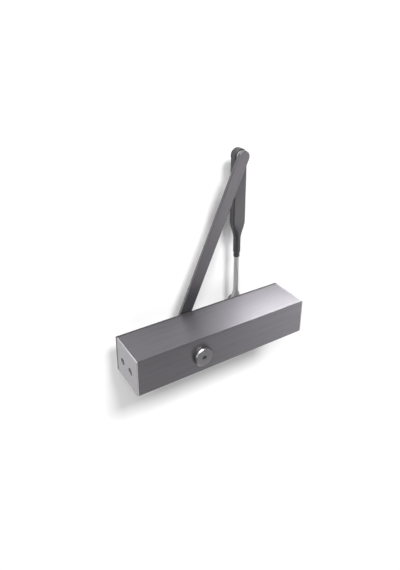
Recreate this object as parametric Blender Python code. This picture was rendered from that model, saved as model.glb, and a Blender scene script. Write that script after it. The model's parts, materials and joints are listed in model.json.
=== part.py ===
"""Overhead door closer: rack-and-pinion body, lever arm, adjustable forearm and fixing shoe.

Frame: the origin lies on the mounting face, under the pinion axis and at mid height.
+Z runs along the pinion axis towards the cap, +X along the body towards the spring end,
and +Y out from the door. All lengths are in metres.
"""

import math

import bmesh
import bpy
from mathutils import Matrix, Vector

# Closer body, outer sizes
BODY_LENGTH = 0.258
BODY_DEPTH = 0.050
BODY_HEIGHT = 0.060
VALVE_END_X = -0.092
SPRING_END_X = VALVE_END_X + BODY_LENGTH
TOP_Z = BODY_HEIGHT / 2
ARM_SIDE_Z = -BODY_HEIGHT / 2

# Fits, and how far a cutter runs past the faces it cuts
GAP = 0.0003
RUNNING_CLEARANCE = 0.00015
PAST = 0.005

# Cover, end caps and panel
SHEET = 0.0018
COVER_CORNER_RADIUS = 0.0007
END_CAP_THICKNESS = 0.002
PANEL_THICKNESS = 0.0032
PANEL_HOLE_MARGIN = 0.0015
VALVE_ACCESS_RADIUS = 0.0048
SPRING_ACCESS_RADIUS = 0.0065

# Housing and mounting plate
PLATE_THICKNESS = 0.0027
PLATE_END_INSET = 0.010
PLATE_HALF_HEIGHT = 0.0255
FIXING_HOLE_RADIUS = 0.0027
FIXING_HOLE_X = (-0.056, 0.106)
FIXING_HOLE_Z = 0.013
HOUSING_END_INSET = 0.006
BORE_Y = 0.0245
BORE_RADIUS = 0.018
PINION_Y = 0.0225
PINION_BORE_RADIUS = 0.0112
BODY_SCREW_X = (-0.074, 0.148)
BODY_SCREW_Z = 0.0219
BODY_SCREW_RADIUS = 0.0025
BODY_SCREW_HEAD_RADIUS = 0.0042
BODY_SCREW_HEAD_HEIGHT = 0.005
PANEL_SCREW_X = (-0.060, 0.038, 0.130)
PANEL_SCREW_Y = 0.0425
PANEL_SCREW_RADIUS = 0.0014
PANEL_SCREW_LENGTH = 0.009
PANEL_SCREW_HEAD_RADIUS = 0.0028
PANEL_SCREW_HEAD_HEIGHT = 0.0012
PANEL_SCREW_SINK = 0.0014
PANEL_SCREW_SEAT_GAP = 0.0002

# Screws: the socket, the slot, the head's wall and face, and the shank's tip, as shares of their
# radius or height
SOCKET_SHARE = 0.55
SOCKET_FLOOR_SHARE = 0.4
SLOT_SHARE = 0.16
HEAD_WALL_SHARE = 0.85
HEAD_FACE_SHARE = 0.9
SHANK_TIP_SHARE = 0.8
SHANK_CHAMFER_SHARE = 0.4

# Rack and pinion
TOOTH_COUNT = 12
MODULE = 0.0015
DEDENDUM = 1.25 * MODULE
PITCH_RADIUS = TOOTH_COUNT * MODULE / 2
PRESSURE_ANGLE = math.radians(25.0)
BACKLASH = 0.00016
GEAR_HALF_WIDTH = 0.0112
JOURNAL_RADIUS = 0.0070
JOURNAL_TOP_Z = 0.0279
SQUARE_HALF_WIDTH = 0.0048
TAPPED_DEPTH = 0.012
BEARING_INNER_Z = 0.0182
BEARING_OUTER_Z = 0.0234
UPPER_SEAL_END_Z = 0.0256
UPPER_NUT_END_Z = 0.0277
LOWER_SEAL_END_Z = -0.0262

# Piston and main spring
PISTON_RADIUS = 0.01785
PISTON_X = (-0.048, 0.040)
PISTON_GROOVE_X = (-0.0458, -0.0428)
CHECK_BALL_RADIUS = 0.0024
CHECK_BALL_DROP = 0.006
WINDOW_X = (-0.0395, 0.0125)
WINDOW_LOW_Y = PINION_Y - 0.0115
SPRING_WIRE_RADIUS = 0.0022
SPRING_COIL_RADIUS = 0.0142
SPRING_TURNS = 8

# Spring plate and force adjusting screw
SPRING_PLATE_X = 0.129
SPRING_PLATE_THICKNESS = 0.005
SPRING_PLUG_LENGTH = 0.012
ADJUSTER_RADIUS = 0.004
ADJUSTER_REACH = 0.016
ADJUSTER_JOURNAL_RADIUS = 0.0055
ADJUSTER_COLLAR_RADIUS = 0.008
ADJUSTER_COLLAR_THICKNESS = 0.0032
ADJUSTER_SOCKET_DEPTH = 0.006

# Valves in the end plug
VALVE_PLUG_LENGTH = 0.024
VALVE_Y = 0.0235
VALVE_Z = 0.011
VALVE_RADIUS = 0.0030
VALVE_HEAD_RADIUS = 0.0040
VALVE_SINK = 0.0010
VALVE_SLOT_DEPTH = 0.0016
VALVE_GROOVE_WIDTH = 0.002
VALVE_TAPER = 0.006
VALVE_TIP_RADIUS = 0.0008
VALVE_RING_LIFT = 1.9

# Rubber rings in the end plugs; a ring's middle is lifted off its groove by this many wire radii
PLUG_GROOVE_DEPTH = 0.0018
PLUG_GROOVE_WIDTH = 0.003
PLUG_RING_WIRE = 0.0009
PLUG_RING_LIFT = 1.2

# Cap on the free end of the pinion
CAP_RADIUS = 0.0134
CAP_HEIGHT = 0.0042
CAP_CHAMFER = 0.0020
CAP_NECK_RADIUS = 0.0098
CAP_NECK_DEPTH = 0.0018
CAP_RECESS_RADIUS = 0.0032
CAP_RECESS_DEPTH = 0.0022
CAP_SCREW_RADIUS = 0.0015
CAP_SCREW_LENGTH = 0.010
CAP_SCREW_HEAD_HEIGHT = 0.0016

# Main arm
ARM_LENGTH = 0.251
ARM_ANGLE = math.radians(66.6)
ARM_HALF_WIDTH = 0.0086
ARM_THICKNESS = 0.0045
ARM_TOP_Z = ARM_SIDE_Z - 0.001
ARM_BOSS_RADIUS = 0.0135
ARM_BOSS_DEPTH = 0.009
ARM_WASHER_RADIUS = 0.0085
ARM_WASHER_THICKNESS = 0.0014
ARM_SCREW_RADIUS = 0.0028
ARM_SCREW_LENGTH = 0.013
ARM_SCREW_HEAD_RADIUS = 0.0055
ARM_SCREW_HEAD_HEIGHT = 0.004

# Elbow and forearm sleeve
ELBOW_PIN_RADIUS = 0.0040
ELBOW_PIN_HEAD_RADIUS = 0.0074
ELBOW_PIN_HEAD_HEIGHT = 0.0016
ELBOW_PIN_RIVETED = 0.0027
ELBOW_WASHER_RADIUS = 0.0078
ELBOW_WASHER_THICKNESS = 0.0015
BUSH_WALL = 0.0014
FOREARM_ANGLE = math.radians(-89.3)
SLEEVE_THICKNESS = 0.011
SLEEVE_EYE_RADIUS = 0.010
SLEEVE_EYE_END = 0.020
SLEEVE_HALF_WIDTH = 0.0098
SLEEVE_FULL_WIDTH_END = 0.0945
SLEEVE_TAPER_END = 0.118
SLEEVE_END = 0.140
NECK_RADIUS = 0.0051
SLEEVE_TAPER_HALF_WIDTH = 0.8 * NECK_RADIUS
SLEEVE_EDGE_CHAMFER = 0.0013
SLEEVE_BORE_START = 0.045
LOCK_SCREW_X = 0.125
LOCK_SCREW_RADIUS = 0.0020
LOCK_SCREW_LENGTH = 0.0021
GUIDE_BUSH_LENGTH = 0.0067
GUIDE_BUSH_WALL = 0.0009

# Adjustable rod and its eye
ROD_RADIUS = 0.0035
ROD_SHOULDER_NARROW = 0.9 * ROD_RADIUS
ROD_START = 0.082
FOREARM_LENGTH = 0.2215
ROD_EYE_RADIUS = 0.0085
ROD_BAR_END = 0.6 * ROD_EYE_RADIUS
ROD_EYE_THICKNESS = 0.0068
ROD_SHOULDER_START = 0.0210
ROD_SHOULDER_END = 0.0110
ROD_SHOULDER_HALF_WIDTH = 0.0056

# Shoe
SHOE_PIN_RADIUS = 0.0035
SHOE_PIN_HEAD_RADIUS = 0.0062
SHOE_PIN_HEAD_HEIGHT = 0.0015
SHOE_WASHER_RADIUS = 0.0078
SHOE_WASHER_THICKNESS = 0.001
SHOE_SHEET = 0.004
SHOE_HALF_LENGTH = 0.028
SHOE_TONGUE_HALF_WIDTH = 0.0078
SHOE_FLANGE_HEIGHT = 0.022
SHOE_HOLE_OFFSET = 0.019
SHOE_HOLE_RADIUS = 0.0027

# Facets round a circle
FINE = 28
MEDIUM = 20
COARSE = 12

# Levels under the body, from the arm down
ARM_BOTTOM_Z = ARM_TOP_Z - ARM_THICKNESS
SLEEVE_TOP_Z = ARM_BOTTOM_Z - ELBOW_WASHER_THICKNESS - 2 * GAP
SLEEVE_BOTTOM_Z = SLEEVE_TOP_Z - SLEEVE_THICKNESS
FOREARM_Z = (SLEEVE_TOP_Z + SLEEVE_BOTTOM_Z) / 2

PINION_POINT = Vector((0.0, PINION_Y, 0.0))
ELBOW_POINT = PINION_POINT + ARM_LENGTH * Vector((math.cos(ARM_ANGLE), math.sin(ARM_ANGLE), 0.0))
SHOE_POINT = ELBOW_POINT + FOREARM_LENGTH * Vector((math.cos(FOREARM_ANGLE), math.sin(FOREARM_ANGLE), 0.0))

ALONG_X = Matrix.Rotation(math.pi / 2, 4, "Y")
ALONG_Y = Matrix.Rotation(-math.pi / 2, 4, "X")


def clear_scene():
    """Remove every object that is already in the scene."""
    for old in list(bpy.data.objects):
        bpy.data.objects.remove(old, do_unlink=True)


def material(name, colour, roughness, metallic):
    """A Principled material with one colour."""
    made = bpy.data.materials.new(name)
    made.use_nodes = True
    shader = made.node_tree.nodes["Principled BSDF"]
    shader.inputs["Base Color"].default_value = (*colour, 1.0)
    shader.inputs["Roughness"].default_value = roughness
    shader.inputs["Metallic"].default_value = metallic
    return made


def finish_mesh(name, builder, finish, parent=None, location=(0.0, 0.0, 0.0)):
    """Turn a bmesh into an object with a material, optionally under an empty."""
    bmesh.ops.recalc_face_normals(builder, faces=builder.faces)
    mesh = bpy.data.meshes.new(name)
    builder.to_mesh(mesh)
    builder.free()
    made = bpy.data.objects.new(name, mesh)
    made.location = location
    made.parent = parent
    bpy.context.scene.collection.objects.link(made)
    if finish is not None:
        mesh.materials.append(finish)
    mesh.shade_smooth()
    mesh.set_sharp_from_angle(angle=math.radians(30))
    return made


def ring(builder, points):
    """Vertices of a closed loop."""
    return [builder.verts.new(point) for point in points]


def bridge(builder, first, second):
    """Side faces between two loops of the same length."""
    count = len(first)
    for i in range(count):
        following = (i + 1) % count
        builder.faces.new((first[i], first[following], second[following], second[i]))


def prism(outline, low, high):
    """A polygon in the XY plane, extruded from z = low to z = high."""
    builder = bmesh.new()
    bottom = ring(builder, [(x, y, low) for x, y in outline])
    top = ring(builder, [(x, y, high) for x, y in outline])
    builder.faces.new(list(reversed(bottom)))
    builder.faces.new(top)
    bridge(builder, bottom, top)
    return builder


def box(low, high):
    """A box between two corners."""
    outline = [(low[0], low[1]), (high[0], low[1]), (high[0], high[1]), (low[0], high[1])]
    return prism(outline, low[2], high[2])


def turned(profile, segments):
    """A solid of revolution about Z. The profile lists (radius, z) points; it is closed on itself."""
    builder = bmesh.new()
    loops = []
    for radius, height in profile:
        if radius < 1e-7:
            loops.append([builder.verts.new((0.0, 0.0, height))])
            continue
        turns = [2 * math.pi * i / segments for i in range(segments)]
        loops.append(ring(builder, [(radius * math.cos(a), radius * math.sin(a), height) for a in turns]))
    for first, second in zip(loops, loops[1:] + loops[:1]):
        if len(first) == 1 and len(second) == 1:
            continue
        for i in range(segments):
            following = (i + 1) % segments
            corners = [first[i % len(first)], first[following % len(first)]]
            corners += [second[following % len(second)], second[i % len(second)]]
            builder.faces.new(list(dict.fromkeys(corners)))
    return builder


def turn_to(builder, rotation, shift=(0.0, 0.0, 0.0)):
    """Rotate a bmesh and then move it."""
    builder.transform(Matrix.Translation(shift) @ rotation)
    return builder


def arc(centre, radius, start, end, steps):
    """Points on an arc in the plane, both ends included; angles in degrees."""
    angles = [math.radians(start + (end - start) * i / steps) for i in range(steps + 1)]
    return [(centre[0] + radius * math.cos(a), centre[1] + radius * math.sin(a)) for a in angles]


def polygon(radius, sides, phase=0.0):
    """A regular polygon round the origin."""
    angles = [phase + 2 * math.pi * i / sides for i in range(sides)]
    return [(radius * math.cos(a), radius * math.sin(a)) for a in angles]


def boolean(target, builder, operation="DIFFERENCE"):
    """Cut a shape from an object, or join it on, with a hidden guide object."""
    guide = finish_mesh(f"{target.name}_guide", builder, None, target.parent, target.location)
    guide.hide_render = True
    guide.display_type = "WIRE"
    modifier = target.modifiers.new("shape", "BOOLEAN")
    modifier.operation = operation
    modifier.solver = "EXACT"
    modifier.object = guide
    return target


def empty(name, point, angle=0.0):
    """An empty on a joint's axis."""
    made = bpy.data.objects.new(name, None)
    made.location = point
    made.rotation_euler = (0.0, 0.0, angle)
    bpy.context.scene.collection.objects.link(made)
    return made


def tube(outer, inner, low, high, segments):
    """A plain sleeve about Z."""
    return turned([(outer, low), (outer, high), (inner, high), (inner, low)], segments)


def rod(radius, low, high, segments):
    """A plain cylinder about Z."""
    return turned([(0.0, low), (radius, low), (radius, high), (0.0, high)], segments)


def o_ring(middle_radius, wire_radius, height, segments):
    """A rubber ring about Z, with a section of six facets."""
    section = polygon(wire_radius, 6)
    return turned([(middle_radius + r, height + z) for r, z in section], segments)


def socket_screw(shank_radius, shank_length, head_radius, head_height, segments):
    """A screw about Z: its head sits above z = 0 and has a hexagon socket, its shank is below."""
    profile = [
        (0.0, -shank_length),
        (shank_radius * SHANK_TIP_SHARE, -shank_length),
        (shank_radius, -shank_length + shank_radius * SHANK_CHAMFER_SHARE),
        (shank_radius, 0.0),
        (head_radius, 0.0),
        (head_radius, head_height * HEAD_WALL_SHARE),
        (head_radius * HEAD_FACE_SHARE, head_height),
        (0.0, head_height),
    ]
    return turned(profile, segments)


def hexagon_socket(head_radius, head_height):
    """The cutter for a screw's socket."""
    outline = polygon(head_radius * SOCKET_SHARE, 6)
    return prism(outline, head_height * SOCKET_FLOOR_SHARE, head_height + PAST)


def screw_driver_slot(head_radius, low, high):
    """The cutter for a straight slot across a head."""
    half = head_radius * SLOT_SHARE
    reach = head_radius + PAST
    return box((-reach, -half, low), (reach, half, high))


def involute_angle(radius):
    """Polar angle of the involute at a radius, from the point where it leaves the base circle."""
    base = PITCH_RADIUS * math.cos(PRESSURE_ANGLE)
    pressure = math.acos(min(1.0, base / radius))
    return math.tan(pressure) - pressure


def gear_outline():
    """The pinion's teeth. One tooth space points along +Y, where the rack's tooth stands."""
    base = PITCH_RADIUS * math.cos(PRESSURE_ANGLE)
    tip = PITCH_RADIUS + MODULE
    root = PITCH_RADIUS - DEDENDUM
    half_tooth = (math.pi * MODULE / 2 - BACKLASH) / (2 * PITCH_RADIUS)
    flank_steps = 3
    flank_radii = [base + (tip - base) * i / flank_steps for i in range(flank_steps + 1)]
    offset = half_tooth + involute_angle(PITCH_RADIUS)
    pitch_angle = 2 * math.pi / TOOTH_COUNT
    points = []
    for tooth in range(TOOTH_COUNT):
        centre = math.pi / 2 + pitch_angle * (tooth + 0.5)
        polar = [(root, centre - offset)]
        polar += [(r, centre - offset + involute_angle(r)) for r in flank_radii]
        polar += [(r, centre + offset - involute_angle(r)) for r in reversed(flank_radii)]
        polar += [(root, centre + offset)]
        points += [(r * math.cos(a), r * math.sin(a)) for r, a in polar]
    return points


def rack_line():
    """The rack's tooth line from left to right: straight flanks, teeth pointing down to -Y."""
    pitch = math.pi * MODULE
    half_tooth = pitch / 4 - BACKLASH / 2
    slope = math.tan(PRESSURE_ANGLE)
    pitch_y = PINION_Y + PITCH_RADIUS
    tip_y = pitch_y - MODULE
    root_y = pitch_y + DEDENDUM
    tip_half = half_tooth - slope * MODULE
    root_half = half_tooth + slope * DEDENDUM
    first = math.ceil((WINDOW_X[0] + root_half) / pitch)
    last = math.floor((WINDOW_X[1] - root_half) / pitch)
    points = [(WINDOW_X[0], root_y)]
    for tooth in range(first, last + 1):
        middle = tooth * pitch
        points.append((middle - root_half, root_y))
        points.append((middle - tip_half, tip_y))
        points.append((middle + tip_half, tip_y))
        points.append((middle + root_half, root_y))
    points.append((WINDOW_X[1], root_y))
    return points


def make_housing(cast_metal):
    """The pressure housing: a long cylinder bore crossed by the pinion's bearing bore."""
    low = (VALVE_END_X + HOUSING_END_INSET, PLATE_THICKNESS + GAP, ARM_SIDE_Z + PANEL_THICKNESS + GAP)
    high = (SPRING_END_X - HOUSING_END_INSET, BODY_DEPTH - SHEET - GAP, TOP_Z - SHEET - GAP)
    housing = finish_mesh("housing", box(low, high), cast_metal)
    bore = rod(BORE_RADIUS, low[0] - PAST, high[0] + PAST, FINE)
    boolean(housing, turn_to(bore, ALONG_X, (0.0, BORE_Y, 0.0)))
    cross_bore = rod(PINION_BORE_RADIUS, low[2] - PAST, high[2] + PAST, MEDIUM)
    boolean(housing, turn_to(cross_bore, Matrix.Identity(4), PINION_POINT))
    head_seat = high[1] - BODY_SCREW_HEAD_HEIGHT - GAP
    for x in BODY_SCREW_X:
        for z in (-BODY_SCREW_Z, BODY_SCREW_Z):
            shank = BODY_SCREW_RADIUS + GAP
            head = BODY_SCREW_HEAD_RADIUS + GAP
            steps = [(0.0, low[1] - PAST), (shank, low[1] - PAST), (shank, head_seat)]
            steps += [(head, head_seat), (head, high[1] + PAST), (0.0, high[1] + PAST)]
            boolean(housing, turn_to(turned(steps, COARSE), ALONG_Y, (x, 0.0, z)))
    for x in PANEL_SCREW_X:
        hole = rod(PANEL_SCREW_RADIUS + GAP, low[2] - PAST, low[2] + PANEL_SCREW_LENGTH, COARSE)
        boolean(housing, turn_to(hole, Matrix.Identity(4), (x, PANEL_SCREW_Y, 0.0)))
    return housing


def make_mounting_plate(steel):
    """The flat plate that is screwed to the door first."""
    low = (VALVE_END_X + PLATE_END_INSET, 0.0, -PLATE_HALF_HEIGHT)
    high = (SPRING_END_X - PLATE_END_INSET, PLATE_THICKNESS, PLATE_HALF_HEIGHT)
    plate = finish_mesh("mounting_plate", box(low, high), steel)
    for x in BODY_SCREW_X:
        for z in (-BODY_SCREW_Z, BODY_SCREW_Z):
            hole = rod(BODY_SCREW_RADIUS + GAP, -PAST, PLATE_THICKNESS + PAST, COARSE)
            boolean(plate, turn_to(hole, ALONG_Y, (x, 0.0, z)))
    for x in FIXING_HOLE_X:
        for z in (-FIXING_HOLE_Z, FIXING_HOLE_Z):
            hole = rod(FIXING_HOLE_RADIUS, -PAST, PLATE_THICKNESS + PAST, COARSE)
            boolean(plate, turn_to(hole, ALONG_Y, (x, 0.0, z)))
    return plate


def make_body_screws(steel):
    """Four long screws that draw the housing onto the mounting plate."""
    head_seat = BODY_DEPTH - SHEET - GAP - BODY_SCREW_HEAD_HEIGHT
    shank_length = head_seat - 2 * GAP
    number = 0
    for x in BODY_SCREW_X:
        for z in (-BODY_SCREW_Z, BODY_SCREW_Z):
            number += 1
            height = BODY_SCREW_HEAD_HEIGHT
            shape = socket_screw(BODY_SCREW_RADIUS, shank_length, BODY_SCREW_HEAD_RADIUS, height, COARSE)
            place = (x, head_seat, z)
            screw = finish_mesh(f"body_screw_{number}", turn_to(shape, ALONG_Y), steel, None, place)
            boolean(screw, turn_to(hexagon_socket(BODY_SCREW_HEAD_RADIUS, height), ALONG_Y))


def make_cover(brushed_metal):
    """The bent cover: its front wall and its cap-side wall are one sheet with a rounded corner."""
    outer = COVER_CORNER_RADIUS
    inner_y = BODY_DEPTH - SHEET
    inner_z = TOP_Z - SHEET
    low_z = ARM_SIDE_Z + PANEL_THICKNESS + GAP
    section = [(0.0, inner_z), (inner_y, inner_z), (inner_y, low_z), (BODY_DEPTH, low_z)]
    section += arc((BODY_DEPTH - outer, TOP_Z - outer), outer, 0, 90, 4)
    section += [(0.0, TOP_Z)]
    start = VALVE_END_X + END_CAP_THICKNESS + GAP
    end = SPRING_END_X - END_CAP_THICKNESS - GAP
    shape = prism([(-z, y) for y, z in section], start, end)
    cover = finish_mesh("cover", turn_to(shape, ALONG_X), brushed_metal)
    hole = rod(PINION_BORE_RADIUS, inner_z - PAST, TOP_Z + PAST, MEDIUM)
    boolean(cover, turn_to(hole, Matrix.Identity(4), PINION_POINT))
    return cover


def make_end_cap(name, outer_x, inner_x, openings, brushed_metal):
    """An end cap: a flat plate across the end, open over each adjusting screw."""
    low = (min(outer_x, inner_x), 0.0, ARM_SIDE_Z + PANEL_THICKNESS + GAP)
    high = (max(outer_x, inner_x), BODY_DEPTH, TOP_Z)
    cap = finish_mesh(name, box(low, high), brushed_metal)
    for y, z, radius in openings:
        hole = rod(radius, low[0] - PAST, high[0] + PAST, COARSE)
        boolean(cap, turn_to(hole, ALONG_X, (0.0, y, z)))
    return cap


def make_arm_side_panel(black_plastic):
    """The dark panel that closes the body towards the arm."""
    low = (VALVE_END_X, 0.0, ARM_SIDE_Z)
    high = (SPRING_END_X, BODY_DEPTH, ARM_SIDE_Z + PANEL_THICKNESS)
    panel = finish_mesh("arm_side_panel", box(low, high), black_plastic)
    hole = rod(JOURNAL_RADIUS + PANEL_HOLE_MARGIN, low[2] - PAST, high[2] + PAST, MEDIUM)
    boolean(panel, turn_to(hole, Matrix.Identity(4), PINION_POINT))
    shank = PANEL_SCREW_RADIUS + GAP
    head = PANEL_SCREW_HEAD_RADIUS + GAP
    seat = low[2] + PANEL_SCREW_SINK + PANEL_SCREW_SEAT_GAP
    steps = [(0.0, low[2] - PAST), (head, low[2] - PAST), (head, seat)]
    steps += [(shank, seat), (shank, high[2] + PAST), (0.0, high[2] + PAST)]
    for x in PANEL_SCREW_X:
        boolean(panel, turn_to(turned(steps, COARSE), Matrix.Identity(4), (x, PANEL_SCREW_Y, 0.0)))
    return panel


def make_panel_screws(steel):
    """Three small screws that hold the arm side panel; their heads face the arm."""
    flip = Matrix.Rotation(math.pi, 4, "X")
    for number, x in enumerate(PANEL_SCREW_X, start=1):
        height = PANEL_SCREW_HEAD_HEIGHT
        shank = PANEL_SCREW_LENGTH
        shape = socket_screw(PANEL_SCREW_RADIUS, shank, PANEL_SCREW_HEAD_RADIUS, height, COARSE)
        place = (x, PANEL_SCREW_Y, ARM_SIDE_Z + PANEL_SCREW_SINK)
        screw = finish_mesh(f"panel_screw_{number}", turn_to(shape, flip), steel, None, place)
        slot = screw_driver_slot(PANEL_SCREW_HEAD_RADIUS, height / 2, height + PAST)
        boolean(screw, turn_to(slot, flip))


def make_bearings(steel, bronze, rubber):
    """Two bearings for the pinion, a seal outside each, and the nut over the upper seal."""
    outer = PINION_BORE_RADIUS - GAP
    inner = JOURNAL_RADIUS + RUNNING_CLEARANCE
    place = (0.0, PINION_Y, 0.0)
    rings = (
        ("upper_bearing", BEARING_INNER_Z, BEARING_OUTER_Z, bronze),
        ("upper_shaft_seal", BEARING_OUTER_Z + GAP, UPPER_SEAL_END_Z, rubber),
        ("bearing_nut", UPPER_SEAL_END_Z + GAP, UPPER_NUT_END_Z, steel),
        ("lower_bearing", -BEARING_OUTER_Z, -BEARING_INNER_Z, bronze),
        ("lower_shaft_seal", LOWER_SEAL_END_Z, -BEARING_OUTER_Z - GAP, rubber),
    )
    for name, low, high, finish in rings:
        finish_mesh(name, tube(outer, inner, low, high, MEDIUM), finish, None, place)


def make_valve_plug(steel, rubber):
    """The end plug that closes the valve end of the bore and carries both valve screws."""
    start = VALVE_END_X + HOUSING_END_INSET
    end = start + VALVE_PLUG_LENGTH
    outer = BORE_RADIUS - GAP
    groove = outer - PLUG_GROOVE_DEPTH
    groove_end = end - PAST
    groove_start = groove_end - PLUG_GROOVE_WIDTH
    profile = [(0.0, start), (outer, start), (outer, groove_start), (groove, groove_start)]
    profile += [(groove, groove_end), (outer, groove_end), (outer, end), (0.0, end)]
    place = (0.0, BORE_Y, 0.0)
    plug = finish_mesh("valve_end_plug", turn_to(turned(profile, FINE), ALONG_X), steel, None, place)
    for z in (-VALVE_Z, VALVE_Z):
        hole = rod(VALVE_RADIUS + 2 * GAP, start - PAST, end + PAST, COARSE)
        boolean(plug, turn_to(hole, ALONG_X, (0.0, VALVE_Y - BORE_Y, z)))
    make_plug_ring("valve_plug_ring", (groove_start + groove_end) / 2, rubber)


def make_plug_ring(name, x, rubber):
    """The rubber ring in a plug's groove; it stands a little proud of the plug."""
    middle_radius = BORE_RADIUS - GAP - PLUG_GROOVE_DEPTH + PLUG_RING_LIFT * PLUG_RING_WIRE
    seal = turn_to(o_ring(middle_radius, PLUG_RING_WIRE, x, FINE), ALONG_X)
    finish_mesh(name, seal, rubber, None, (0.0, BORE_Y, 0.0))


def make_valve(name, z, steel, rubber):
    """A slotted valve screw and its sealing ring, turned about the valve's own axis."""
    start = VALVE_END_X + VALVE_SINK
    head_end = VALVE_END_X + HOUSING_END_INSET - GAP
    tip = head_end + VALVE_PLUG_LENGTH
    ring_wire = VALVE_GROOVE_WIDTH / 4
    groove = VALVE_RADIUS - 2 * ring_wire
    groove_start = (head_end + tip) / 2
    groove_end = groove_start + VALVE_GROOVE_WIDTH
    profile = [(0.0, start), (VALVE_HEAD_RADIUS, start), (VALVE_HEAD_RADIUS, head_end)]
    profile += [(VALVE_RADIUS, head_end), (VALVE_RADIUS, groove_start), (groove, groove_start)]
    profile += [(groove, groove_end), (VALVE_RADIUS, groove_end), (VALVE_RADIUS, tip - VALVE_TAPER)]
    profile += [(VALVE_TIP_RADIUS, tip), (0.0, tip)]
    place = (0.0, VALVE_Y, z)
    shape = turn_to(turned(profile, COARSE), ALONG_X)
    valve = finish_mesh(name, shape, steel, None, place)
    slot = screw_driver_slot(VALVE_HEAD_RADIUS, start - PAST, start + VALVE_SLOT_DEPTH)
    boolean(valve, turn_to(slot, ALONG_X))
    seal = o_ring(groove + VALVE_RING_LIFT * ring_wire, ring_wire, (groove_start + groove_end) / 2, COARSE)
    finish_mesh(f"{name}_ring", turn_to(seal, ALONG_X), rubber, None, place)


def make_spring_end(steel, rubber, spring_steel):
    """The spring-end plug, the force adjusting screw, the spring plate and the main spring."""
    end = SPRING_END_X - HOUSING_END_INSET
    start = end - SPRING_PLUG_LENGTH
    outer = BORE_RADIUS - GAP
    groove = outer - PLUG_GROOVE_DEPTH
    groove_start = start + PLUG_GROOVE_WIDTH
    groove_end = groove_start + PLUG_GROOVE_WIDTH
    hole = ADJUSTER_JOURNAL_RADIUS
    place = (0.0, BORE_Y, 0.0)
    profile = [(hole, start), (outer, start), (outer, groove_start), (groove, groove_start)]
    profile += [(groove, groove_end), (outer, groove_end), (outer, end), (hole, end)]
    finish_mesh("spring_end_plug", turn_to(turned(profile, FINE), ALONG_X), steel, None, place)
    make_plug_ring("spring_plug_ring", (groove_start + groove_end) / 2, rubber)

    journal = hole - RUNNING_CLEARANCE
    journal_end = end + HOUSING_END_INSET / 3
    collar_end = start - GAP
    collar_start = collar_end - ADJUSTER_COLLAR_THICKNESS
    low = SPRING_PLATE_X - ADJUSTER_REACH
    profile = [(0.0, low), (ADJUSTER_RADIUS, low), (ADJUSTER_RADIUS, collar_start)]
    profile += [(ADJUSTER_COLLAR_RADIUS, collar_start), (ADJUSTER_COLLAR_RADIUS, collar_end)]
    profile += [(journal, collar_end), (journal, journal_end), (0.0, journal_end)]
    screw = finish_mesh("adjusting_screw", turn_to(turned(profile, MEDIUM), ALONG_X), steel, None, place)
    socket_start = journal_end - ADJUSTER_SOCKET_DEPTH
    socket = prism(polygon(journal / 2, 6), socket_start, journal_end + PAST)
    boolean(screw, turn_to(socket, ALONG_X))

    plate_end = SPRING_PLATE_X + SPRING_PLATE_THICKNESS
    inner = ADJUSTER_RADIUS + RUNNING_CLEARANCE
    plate = tube(PISTON_RADIUS - GAP, inner, SPRING_PLATE_X, plate_end, FINE)
    finish_mesh("spring_plate", turn_to(plate, ALONG_X), steel, None, place)

    make_main_spring(PISTON_X[1] + GAP, SPRING_PLATE_X - GAP, spring_steel)


def make_main_spring(start, end, spring_steel):
    """The compression spring, as a round wire along a helix with closed end turns."""
    steps_per_turn = 10
    count = SPRING_TURNS * steps_per_turn
    first = start + SPRING_WIRE_RADIUS
    reach = end - start - 2 * SPRING_WIRE_RADIUS
    curve = bpy.data.curves.new("main_spring", "CURVE")
    curve.dimensions = "3D"
    curve.bevel_depth = SPRING_WIRE_RADIUS
    curve.bevel_resolution = 1
    curve.use_fill_caps = True
    spline = curve.splines.new("POLY")
    spline.points.add(count)
    for i in range(count + 1):
        share = i / count
        turn = 2 * math.pi * i / steps_per_turn
        y = SPRING_COIL_RADIUS * math.cos(turn)
        z = SPRING_COIL_RADIUS * math.sin(turn)
        spline.points[i].co = (first + reach * share, y, z, 1.0)
    curve.materials.append(spring_steel)
    spring = bpy.data.objects.new("main_spring", curve)
    spring.location = (0.0, BORE_Y, 0.0)
    bpy.context.scene.collection.objects.link(spring)
    return spring


def make_piston(steel, rubber):
    """The piston: a cylinder with the rack cut in its window, a seal and a check valve ball."""
    groove = PISTON_RADIUS - PLUG_GROOVE_DEPTH
    groove_start, groove_end = PISTON_GROOVE_X
    profile = [(0.0, PISTON_X[0]), (PISTON_RADIUS, PISTON_X[0]), (PISTON_RADIUS, groove_start)]
    profile += [(groove, groove_start), (groove, groove_end), (PISTON_RADIUS, groove_end)]
    profile += [(PISTON_RADIUS, PISTON_X[1]), (0.0, PISTON_X[1])]
    place = (0.0, BORE_Y, 0.0)
    piston = finish_mesh("piston", turn_to(turned(profile, FINE), ALONG_X), steel, None, place)
    outline = rack_line() + [(WINDOW_X[1], WINDOW_LOW_Y), (WINDOW_X[0], WINDOW_LOW_Y)]
    reach = PISTON_RADIUS + PAST
    window = prism([(x, y - BORE_Y) for x, y in outline], -reach, reach)
    boolean(piston, window)
    passage = rod(CHECK_BALL_RADIUS + GAP, PISTON_X[0] - PAST, WINDOW_X[0] + PAST, COARSE)
    boolean(piston, turn_to(passage, ALONG_X, (0.0, -CHECK_BALL_DROP, 0.0)))
    ball = bmesh.new()
    bmesh.ops.create_icosphere(ball, subdivisions=2, radius=CHECK_BALL_RADIUS)
    ball_place = ((PISTON_X[0] + WINDOW_X[0]) / 2, BORE_Y - CHECK_BALL_DROP, 0.0)
    finish_mesh("check_valve_ball", ball, steel, None, ball_place)
    seal = tube(PISTON_RADIUS, groove + GAP, groove_start + GAP, groove_end - GAP, FINE)
    finish_mesh("piston_seal", turn_to(seal, ALONG_X), rubber, None, place)


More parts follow.
